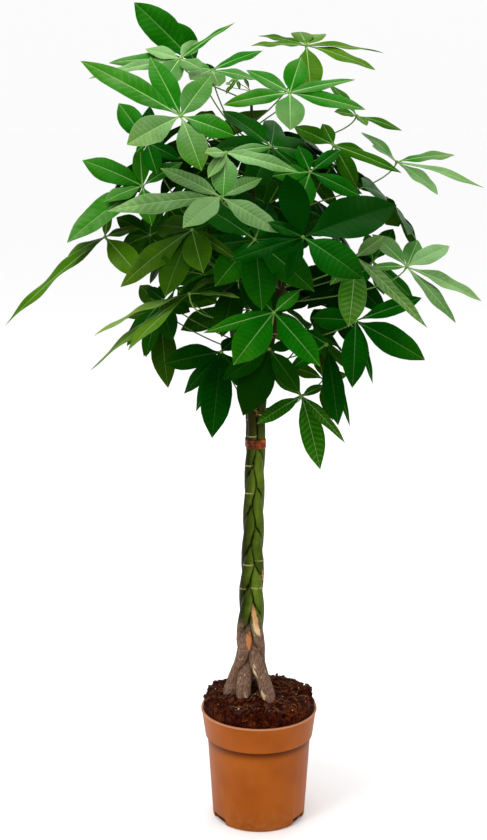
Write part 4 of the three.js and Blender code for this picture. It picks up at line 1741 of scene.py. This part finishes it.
class Blades:
    """The leaflet that is modelled once, and laid along each midrib.

    CURL, BREADTH, FULLNESS (slim leaflets first) and WAVES hold the ends of random draws. OUTLINE
    gives the half width, as a share of the widest, along the leaflet's length.
    """

    UV_NAME = "veins"
    ROWS = 26
    COLUMNS = (-1.0, -0.56, -0.09, 0.0, 0.09, 0.56, 1.0)
    SWEEP = 0.26
    FOLD = math.tan(math.radians(15))
    CURL = (0.08, 0.3)
    CURL_POWER = 2.4
    BREADTH = (0.99, 1.07)
    SLIM = 0.11
    FULLNESS = {True: (0.72, 0.85), False: (0.92, 1.14)}
    HUB_WIDTH = 0.0009
    WAVES = (1.2, 2.3)
    WAVE_LAG = 0.8
    WAVE_HEIGHT = 0.019
    RIDGE_HEIGHT = 0.0003
    DROOP = 0.0105
    DROOP_START = 0.72
    TWIST = 0.22
    SKIN = 0.00022
    RIB_SHARE = 0.07
    RIB_ABOVE = 0.0002
    RIB_BELOW = 0.0012
    HEART = (0.0, 0.03, 1.0)
    REACH = (0.36, 0.28, 0.42)
    INNER_SHADE = 0.46
    SKY_LIGHT = 0.28
    SKY_MIDDLE = 0.55
    SPOTTING = 0.14
    TIP_SHIFT = 0.22
    TIP_WARMTH = 0.4
    OUTLINE = (
        (0.0, 0.0),
        (0.06, 0.04),
        (0.13, 0.22),
        (0.22, 0.56),
        (0.35, 0.88),
        (0.48, 0.99),
        (0.6, 0.98),
        (0.72, 0.86),
        (0.82, 0.63),
        (0.9, 0.36),
        (0.96, 0.14),
        (1.0, 0.0),
    )

    def __init__(self, upper: bpy.types.Material, lower: bpy.types.Material) -> None:
        """Models the master leaflet.

        Args:
            upper: The finish of the upper side.
            lower: The finish of the underside.
        """
        self.master = self._model()
        self.master.data.materials.append(upper)
        self.master.data.materials.append(lower)
        self._sort_faces()
        places = places_of(self.master.data)
        self.across = places[:, 0]
        row = np.round(places[:, 1] * self.ROWS).astype(int)
        self.upper = places[:, 2] > 0.5
        reach = np.abs(self.across)
        base = places[:, 1]
        self.along = base + self.SWEEP * reach * np.sqrt(base) * (1 - base)
        self.ridge = np.where(row % 2 == 0, 1.0, -1.0)

    def _model(self) -> Piece:
        """A grid with a column on each side of the midrib, given a thickness and a point."""
        piece = fresh(
            bpy.ops.mesh.primitive_grid_add,
            "leaflet_master",
            x_subdivisions=len(self.COLUMNS) - 1,
            y_subdivisions=self.ROWS,
            size=2,
            calc_uvs=True,
        )
        places = places_of(piece.data)
        column = np.round((places[:, 0] + 1) / 2 * (len(self.COLUMNS) - 1)).astype(int)
        places[:, 0] = np.array(self.COLUMNS)[column]
        places[:, 1] = (places[:, 1] + 1) / 2
        set_places(piece.data, places)
        with editing(piece):
            bpy.ops.mesh.select_all(action="SELECT")
            bpy.ops.mesh.extrude_region_move(TRANSFORM_OT_translate={"value": (0, 0, 1)})
        mesh = piece.data
        for vertex in mesh.vertices:
            vertex.select = vertex.co.y > 1 - 1e-4
        mesh.edges.foreach_set("select", [False] * len(mesh.edges))
        mesh.polygons.foreach_set("select", [False] * len(mesh.polygons))
        bpy.context.tool_settings.mesh_select_mode = (True, False, False)
        with editing(piece, "VERT"):
            bpy.ops.mesh.merge(type="CENTER")
            bpy.ops.mesh.select_all(action="SELECT")
            bpy.ops.mesh.normals_make_consistent(inside=False)
        return piece

    def _sort_faces(self) -> None:
        """Gives each face its side's finish and its UV, and sharpens the rim."""
        mesh = self.master.data
        uv_layer = mesh.uv_layers.active
        uv_layer.name = self.UV_NAME
        sheets: list[int] = []
        for polygon in mesh.polygons:
            polygon.use_smooth = True
            heights = [mesh.vertices[vertex].co.z for vertex in polygon.vertices]
            top = min(heights) > 0.4 and max(heights) > 0.9
            bottom = max(heights) < 0.6 and min(heights) < 0.1
            polygon.material_index = 0 if top else 1
            sheets.append(1 if top else 2 if bottom else 0)
            for loop in polygon.loop_indices:
                place = mesh.vertices[mesh.loops[loop].vertex_index].co
                uv_layer.data[loop].uv = ((place.x + 1) / 2, place.y)
        kinds: dict[tuple[int, int], set[int]] = {}
        for polygon, sheet in zip(mesh.polygons, sheets):
            for key in polygon.edge_keys:
                kinds.setdefault(key, set()).add(sheet)
        for edge in mesh.edges:
            edge.use_edge_sharp = len(kinds[edge.key]) > 1

    @classmethod
    def outline(cls, along: np.ndarray, fullness: float) -> np.ndarray:
        """The half width along a leaflet, as a share of its widest.

        Args:
            along: Shares of the leaflet's length.
            fullness: Over 1 carries the widest place towards the tip, under 1 towards the hub.

        Returns:
            The half widths.
        """
        places, widths = zip(*cls.OUTLINE)
        return np.interp(np.clip(along, 0, 1) ** fullness, places, widths)

    def lay(self, leaflet: Leaflet, facing: Vector, mood: LeafMood, draw: random.Random) -> Piece:
        """Lays a copy of the master along a midrib.

        Args:
            leaflet: Where it lies.
            facing: The way the leaf's upper side looks.
            mood: The leaf's colour and relief.
            draw: The source of random numbers.

        Returns:
            The leaflet.
        """
        hub, control, tip = (np.array(p) for p in (leaflet.hub, leaflet.control, leaflet.tip))
        along, across = self.along, self.across
        reach = np.abs(across)
        t = along[:, None]
        middle = (1 - t) ** 2 * hub + 2 * t * (1 - t) * control + t**2 * tip
        forward = unit(2 * (1 - t) * (control - hub) + 2 * t * (tip - control))
        side = unit(np.cross(forward, np.array(facing)))
        up = np.cross(side, forward)
        length = float(np.linalg.norm(tip - hub))
        half = leaflet.half_width * draw.uniform(*self.BREADTH) * mood.breadth
        fullness = draw.uniform(*self.FULLNESS[leaflet.half_width / length < self.SLIM])
        width = half * self.outline(along, fullness) + self.HUB_WIDTH * (1 - along) ** 3
        swell = np.sin(np.pi * along)
        waves = draw.uniform(*self.WAVES)
        phase = draw.uniform(0, 1)
        sway = np.sin(2 * np.pi * (waves * along + phase) + self.WAVE_LAG * np.sign(across))
        curl = draw.uniform(*self.CURL)
        rise = width * (self.FOLD * reach - curl * reach**self.CURL_POWER)
        rise = rise + self.WAVE_HEIGHT * length * sway * reach**2 * swell
        rise = rise + self.RIDGE_HEIGHT * mood.veined * self.ridge * (1 - reach**4) * swell
        hanging = np.clip(along - self.DROOP_START, 0, 1) / (1 - self.DROOP_START)
        rise = rise + self.DROOP * length * (along**8 - hanging**2)
        rise = rise + width * across * draw.uniform(-self.TWIST, self.TWIST) * along
        rib = np.exp(-((across / self.RIB_SHARE) ** 2)) * (1.05 - along)
        above, below = self.SKIN + self.RIB_ABOVE * rib, -self.SKIN - self.RIB_BELOW * rib
        rise = rise + np.where(self.upper, above, below)
        places = middle + side * (across * width)[:, None] + up * rise[:, None]
        places = np.clip(places, *(np.array(corner) for corner in CAD_BOX))
        made = twin(self.master, "leaflet")
        set_places(made.data, places)
        deep = np.clip(1.05 - np.linalg.norm((places - self.HEART) / self.REACH, axis=1), 0, 1)
        curled = curl * self.CURL_POWER * reach ** (self.CURL_POWER - 1)
        slope = np.sign(across) * (self.FOLD - curled)
        skyward = (up[:, 2] - side[:, 2] * slope) / np.sqrt(1 + slope**2)
        tone = mood.tone + draw.uniform(-self.SPOTTING, self.SPOTTING) - self.INNER_SHADE * deep
        tone = tone + draw.uniform(-1, 1) * self.TIP_SHIFT * (along - 0.5)
        tone = tone + self.SKY_LIGHT * (skyward - self.SKY_MIDDLE)
        warm = draw.uniform(0.0, self.TIP_WARMTH) * np.clip(along, 0, 1) ** 2
        olive = np.clip(mood.olive + warm, 0, 1)
        marks = {"tone": tone, "span": width, "veined": mood.veined, "olive": olive}
        for name, values in marks.items():
            carry(made.data, name, values)
        return made


@dataclass(frozen=True)
class YoungLeaf:
    """A small unfurling leaf: its hub, its leaflets' tips, and what all such leaves share."""

    hub: tuple[float, float, float]
    tips: tuple[tuple[float, float, float], ...]
    half_width: float = 0.0032
    arch: float = 0.004
    facing: tuple[float, float, float] = (0.1, -0.6, 0.8)
    mood: LeafMood = LeafMood(0.62, 0.6, 0.1)
    stoutness: float = 0.55


@dataclass(frozen=True)
class StalkShape:
    """The petiole's radii, how far its swellings go, its bends, and the hub's half sizes."""

    middle: float = 0.0012
    foot: float = 0.003
    top: float = 0.0022
    foot_share: float = 0.045
    top_share: float = 0.035
    sunk: float = 0.0026
    leave: float = 0.3
    lift: float = 0.12
    arrive: float = 0.25
    bead: tuple[float, float, float] = (0.0034, 0.0034, 0.0026)
    sides: int = 8
    cuts: int = 15


@dataclass
class Crown:
    """All the palmate leaves."""

    shape: StalkShape = field(default_factory=StalkShape)
    upper: LeafSkin = LeafSkin(
        name="leaf_upper",
        stops=(
            (0.0, (0.0004, 0.02, 0.0004)),
            (0.2, (0.0006, 0.044, 0.0006)),
            (0.4, (0.002, 0.08, 0.001)),
            (0.6, (0.012, 0.116, 0.004)),
            # The pale grey-green stops at 0.8 and 1.0 are a painted sheen: the sky's reflection on
            # leaves lit from above.
            (0.8, (0.076, 0.163, 0.05)),
            (1.0, (0.155, 0.29, 0.112)),
        ),
        olive=(
            (0.0, (0.006, 0.024, 0.0006)),
            (0.3, (0.02, 0.056, 0.0012)),
            (0.6, (0.062, 0.12, 0.003)),
            (1.0, (0.16, 0.24, 0.015)),
        ),
        rib=(0.22, 0.36, 0.12),
        roughness=0.36,
        vein_strength=0.17,
        relief=0.0005,
        shine=0.03,
    )
    lower: LeafSkin = LeafSkin(
        name="leaf_underside",
        stops=(
            (0.0, (0.0008, 0.024, 0.0008)),
            (0.5, (0.006, 0.066, 0.0015)),
            (1.0, (0.045, 0.13, 0.016)),
        ),
        olive=(
            (0.0, (0.012, 0.026, 0.0008)),
            (0.5, (0.06, 0.105, 0.003)),
            (1.0, (0.15, 0.22, 0.01)),
        ),
        rib=(0.12, 0.2, 0.04),
        roughness=0.6,
        vein_strength=0.25,
        relief=0.0005,
        shine=0.0,
    )
    stalk: GreenStalk = field(default_factory=GreenStalk)
    seed: int = 5
    hidden_breadth: float = 1.25
    hub_light: float = 0.45
    shoot_foot: tuple[float, float, float] = (-0.015, 0.025, 1.296)
    young: tuple[YoungLeaf, ...] = (
        YoungLeaf(
            (-0.039, 0.01, 1.3195),
            ((-0.052, 0.005, 1.3016), (-0.053, 0.015, 1.3146), (-0.034, 0.0, 1.3032)),
        ),
        YoungLeaf(
            (-0.027, 0.03, 1.3211),
            ((-0.0187, 0.028, 1.3064), (-0.0373, 0.035, 1.3277), (-0.0134, 0.025, 1.3195)),
        ),
        YoungLeaf((-0.049, 0.025, 1.3097), ((-0.0574, 0.02, 1.2962), (-0.0585, 0.03, 1.3129))),
    )
    # Each tone is set to how bright the leaf looks where it hangs: besides its own green it holds
    # painted light on sky-lit leaves and painted shade on leaves deep in the crown; a high olive
    # also paints the glow of leaves lit from behind.
    moods: tuple[LeafMood, ...] = (
        LeafMood(0.7),
        LeafMood(0.73, 0, 0.15),
        LeafMood(0.28, 0.1, 0.4),
        LeafMood(0.66, 0, 0.15),
        LeafMood(0.58, 0, 0.1),
        LeafMood(0.42, 0.65, 0.2, 0.9),
        LeafMood(0.6, 0.4),
        LeafMood(0.82, 0, 0.1),
        LeafMood(0.6, 0.4),
        LeafMood(0.8),
        LeafMood(1.0, 0.05, 0.5),
        LeafMood(0.58, 0.1),
        LeafMood(0.6, 0.6, 0.2),
        LeafMood(0.28, 0.8, 0.2),
        LeafMood(0.62, 0.5, 0.1),
        LeafMood(0.36, 0.7),
        LeafMood(0.46),
        LeafMood(0.24, 0.2),
        LeafMood(0.5, 0, 0.4),
        LeafMood(0.06, 0, 0.4),
        LeafMood(0.78, 0.15, 0.8),
        LeafMood(0.86, 0, 0.25),
        LeafMood(0.4, 0, 0.3),
        LeafMood(0.45, 0, 0.3),
        LeafMood(0.62, 0.2, 1.3),
        LeafMood(0.5, 0.6),
        LeafMood(0.36),
        LeafMood(0.55),
        LeafMood(0.7),
        LeafMood(0.3, 0.1),
        LeafMood(0.3, 0.05),
        LeafMood(0.42, 0.5, 0.2),
    )

    def build(self) -> None:
        """Models, dresses and hands over every leaf; those without a mood are broad and painted dark
        as shade.
        """
        self.blades = Blades(self.upper.make(), self.lower.make())
        self.stalk_finish = self.stalk.make()
        self.rod = self._rod()
        self.bead = self._bead()
        draw = random.Random(self.seed)
        moods = {f"leaf_{number:02}": mood for number, mood in enumerate(self.moods, 1)}
        for node in sorted(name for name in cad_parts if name.startswith("leaf_")):
            # Leaves without a mood lie hidden in the crown; their low tone is painted shade.
            tone, olive = 0.18 + 0.3 * draw.random(), 0.25 * draw.random()
            other = LeafMood(tone, olive, breadth=self.hidden_breadth)
            plan = LeafSurvey(node).read()
            piece = self._leaf(plan, moods.get(node, other), draw, f"palmate_{node}")
            hand_over(piece, "leaf", node)
        hand_over(self._young_shoot(draw), "leaf")
        for master in (self.blades.master, self.rod, self.bead):
            discard(master)

    def _young_shoot(self, draw: random.Random) -> Piece:
        """Models the small unfurling leaves at the top of the tallest stem."""
        leaves = []
        for young in self.young:
            hub = Vector(young.hub)
            leaflets = []
            for tip in map(Vector, young.tips):
                control = hub.lerp(tip, 0.5) + UP * young.arch
                leaflets.append(Leaflet(hub, control, tip, young.half_width))
            facing = Vector(young.facing).normalized()
            plan = LeafPlan(hub, facing, tuple(leaflets), Vector(self.shoot_foot), UP)
            leaves.append(self._leaf(plan, young.mood, draw, "young_leaf", young.stoutness))
        return joined(leaves, "young_shoot")

    def _rod(self) -> Piece:
        """The petiole that is modelled once: a rod cut across."""
        rod = {"vertices": self.shape.sides, "radius": 1, "depth": 1}
        piece = cut_rod("petiole_master", self.shape.cuts, **rod)
        bpy.ops.object.shade_smooth()
        return piece

    def _bead(self) -> Piece:
        """The swollen joint where the leaflets meet, modelled once."""
        piece = fresh(
            bpy.ops.mesh.primitive_ico_sphere_add, "hub_master", subdivisions=2, radius=1
        )
        with editing(piece):
            bpy.ops.mesh.select_all(action="SELECT")
            bpy.ops.transform.resize(value=self.shape.bead)
        bpy.ops.object.shade_smooth()
        return piece

    def _leaf(
        self, plan: LeafPlan, mood: LeafMood, draw: random.Random, name: str, stoutness: float = 1.0
    ) -> Piece:
        """Models one leaf.

        Args:
            plan: Where it lies.
            mood: Its colour and relief.
            draw: The source of random numbers.
            name: The piece's name.
            stoutness: The thickness of its petiole and hub, as a share of a full leaf's.

        Returns:
            The leaf.
        """
        parts = [self.blades.lay(leaflet, plan.facing, mood, draw) for leaflet in plan.leaflets]
        parts.append(self._petiole(plan, mood.tone, stoutness))
        hub = twin(self.bead, "hub")
        upright = plan.facing.to_track_quat("Z", "X").to_matrix().to_4x4()
        hub.data.transform(Matrix.Translation(plan.hub) @ upright @ Matrix.Scale(stoutness, 4))
        hub.data.materials.append(self.stalk_finish)
        carry(hub.data, "tone", min(1.0, mood.tone + self.hub_light))
        parts.append(hub)
        return joined(parts, name)

    def _petiole(self, plan: LeafPlan, tone: float, stoutness: float) -> Piece:
        """Lays the rod from the stem to the hub.

        Args:
            plan: Where the leaf lies.
            tone: How light it is.
            stoutness: Its thickness, as a share of a full leaf's.

        Returns:
            The petiole.
        """
        made = twin(self.rod, "petiole")
        made.data.materials.append(self.stalk_finish)
        template = places_of(made.data)
        along = template[:, 2] + 0.5
        shape = self.shape
        length = (plan.hub - plan.seat).length
        start = plan.seat - plan.out * shape.sunk
        rising = start + plan.out * length * shape.leave + UP * length * shape.lift
        arriving = plan.hub - plan.facing * length * shape.arrive
        corners = [np.array(corner) for corner in (start, rising, arriving, plan.hub)]
        t = along[:, None]
        weights = ((1 - t) ** 3, 3 * t * (1 - t) ** 2, 3 * t**2 * (1 - t), t**3)
        middle = sum(weight * corner for weight, corner in zip(weights, corners))
        steps = [corners[n + 1] - corners[n] for n in range(3)]
        slopes = ((1 - t) ** 2, 2 * t * (1 - t), t**2)
        forward = unit(sum(slope * step for slope, step in zip(slopes, steps)))
        side = unit(np.cross(forward, np.array((0.02, 0.03, 1.0))))
        up = np.cross(side, forward)
        flare = (shape.foot - shape.middle) * np.exp(-((along / shape.foot_share) ** 2))
        swell = (shape.top - shape.middle) * np.exp(-(((1 - along) / shape.top_share) ** 2))
        radius = (shape.middle + flare + swell) * stoutness
        places = middle - side * (template[:, 0] * radius)[:, None]
        places = places + up * (template[:, 1] * radius)[:, None]
        set_places(made.data, places)
        carry(made.data, "tone", np.clip(tone * 0.6 + 0.5 * along, 0, 1))
        return made


# ------------------------------------------------------------------ studio


class Lamp(Enum):
    """The studio's soft lights: place, size across, power, and warmth."""

    TOP = ((-0.3, -0.3, 3.2), 1.4, 55.0, (1.0, 1.0, 1.0))
    KEY = ((-2.0, -2.2, 2.9), 1.2, 34.0, (1.0, 0.99, 0.97))
    BACK = ((0.9, 2.4, 2.6), 1.8, 22.0, (1.0, 1.0, 1.0))


@dataclass
class Studio:
    """The camera at the photograph's place, the pale floor and the soft lights."""

    camera_place: tuple[float, float, float] = (-0.028, -2.615, 1.32)
    camera_drop: float = math.radians(12.5)
    lens: float = 65.79
    aim: tuple[float, float, float] = (0.0, 0.0, 0.85)
    horizon: float = 0.97
    zenith: float = 1.02
    floor_radius: float = 40.0
    floor: PaleFloor = field(default_factory=PaleFloor)

    def build(self) -> None:
        """Sets up the studio."""
        self._camera()
        self._floor()
        self._lamps()
        self._surroundings()
        bpy.context.scene.view_settings.view_transform = "Standard"

    def _camera(self) -> None:
        """Stands the camera where the photograph was taken."""
        data = bpy.data.cameras.new("camera")
        data.lens = self.lens
        data.sensor_width = 36.0
        data.clip_end = 100.0
        camera = self._placed(data, self.camera_place)
        camera.rotation_euler = (math.pi / 2 - self.camera_drop, 0, 0)
        bpy.context.scene.camera = camera

    @staticmethod
    def _placed(data: bpy.types.ID, place: Sequence[float]) -> Piece:
        """Puts a camera or a light into the scene.

        Args:
            data: The camera or the light.
            place: Where it goes.

        Returns:
            Its object.
        """
        made = bpy.data.objects.new(data.name, data)
        made.location = place
        bpy.context.scene.collection.objects.link(made)
        return made

    def _floor(self) -> None:
        """Lays the floor."""
        piece = fresh(
            bpy.ops.mesh.primitive_circle_add,
            "studio_floor",
            vertices=96,
            radius=self.floor_radius,
            fill_type="NGON",
        )
        piece.data.materials.append(self.floor.make())

    def _lamps(self) -> None:
        """Hangs the lights."""
        for lamp in Lamp:
            place, size, power, colour = lamp.value
            data = bpy.data.lights.new(lamp.name.lower(), "AREA")
            data.shape = "DISK"
            data.size = size
            data.energy = power
            data.color = colour
            light = self._placed(data, place)
            light.visible_glossy = lamp is not Lamp.BACK
            aim = Vector(self.aim) - Vector(place)
            light.rotation_euler = aim.to_track_quat("-Z", "Y").to_euler()

    def _surroundings(self) -> None:
        """Makes the air round the object softly bright, a little more so overhead."""
        world = bpy.data.worlds.new("studio")
        world.use_nodes = True
        tree = world.node_tree
        place = tree.nodes.new("ShaderNodeTexCoord")
        split = tree.nodes.new("ShaderNodeSeparateXYZ")
        share = tree.nodes.new("ShaderNodeMapRange")
        share.inputs["To Min"].default_value = self.horizon
        share.inputs["To Max"].default_value = self.zenith
        background = tree.nodes["Background"]
        background.inputs["Color"].default_value = (1.0, 1.0, 1.0, 1.0)
        tree.links.new(place.outputs["Generated"], split.inputs[0])
        tree.links.new(split.outputs["Z"], share.inputs["Value"])
        tree.links.new(share.outputs["Result"], background.inputs["Strength"])
        bpy.context.scene.world = world


def main() -> None:
    """Builds every sub-assembly."""
    logging.basicConfig(level=logging.INFO, format="%(name)s %(message)s")
    Studio().build()
    NurseryPot().build()
    trunk = BraidedTrunk()
    trunk.build()
    TieBand(trunk).build()
    PottingMix(trunk).build()
    Crown().build()


if __name__ == "__main__":
    main()
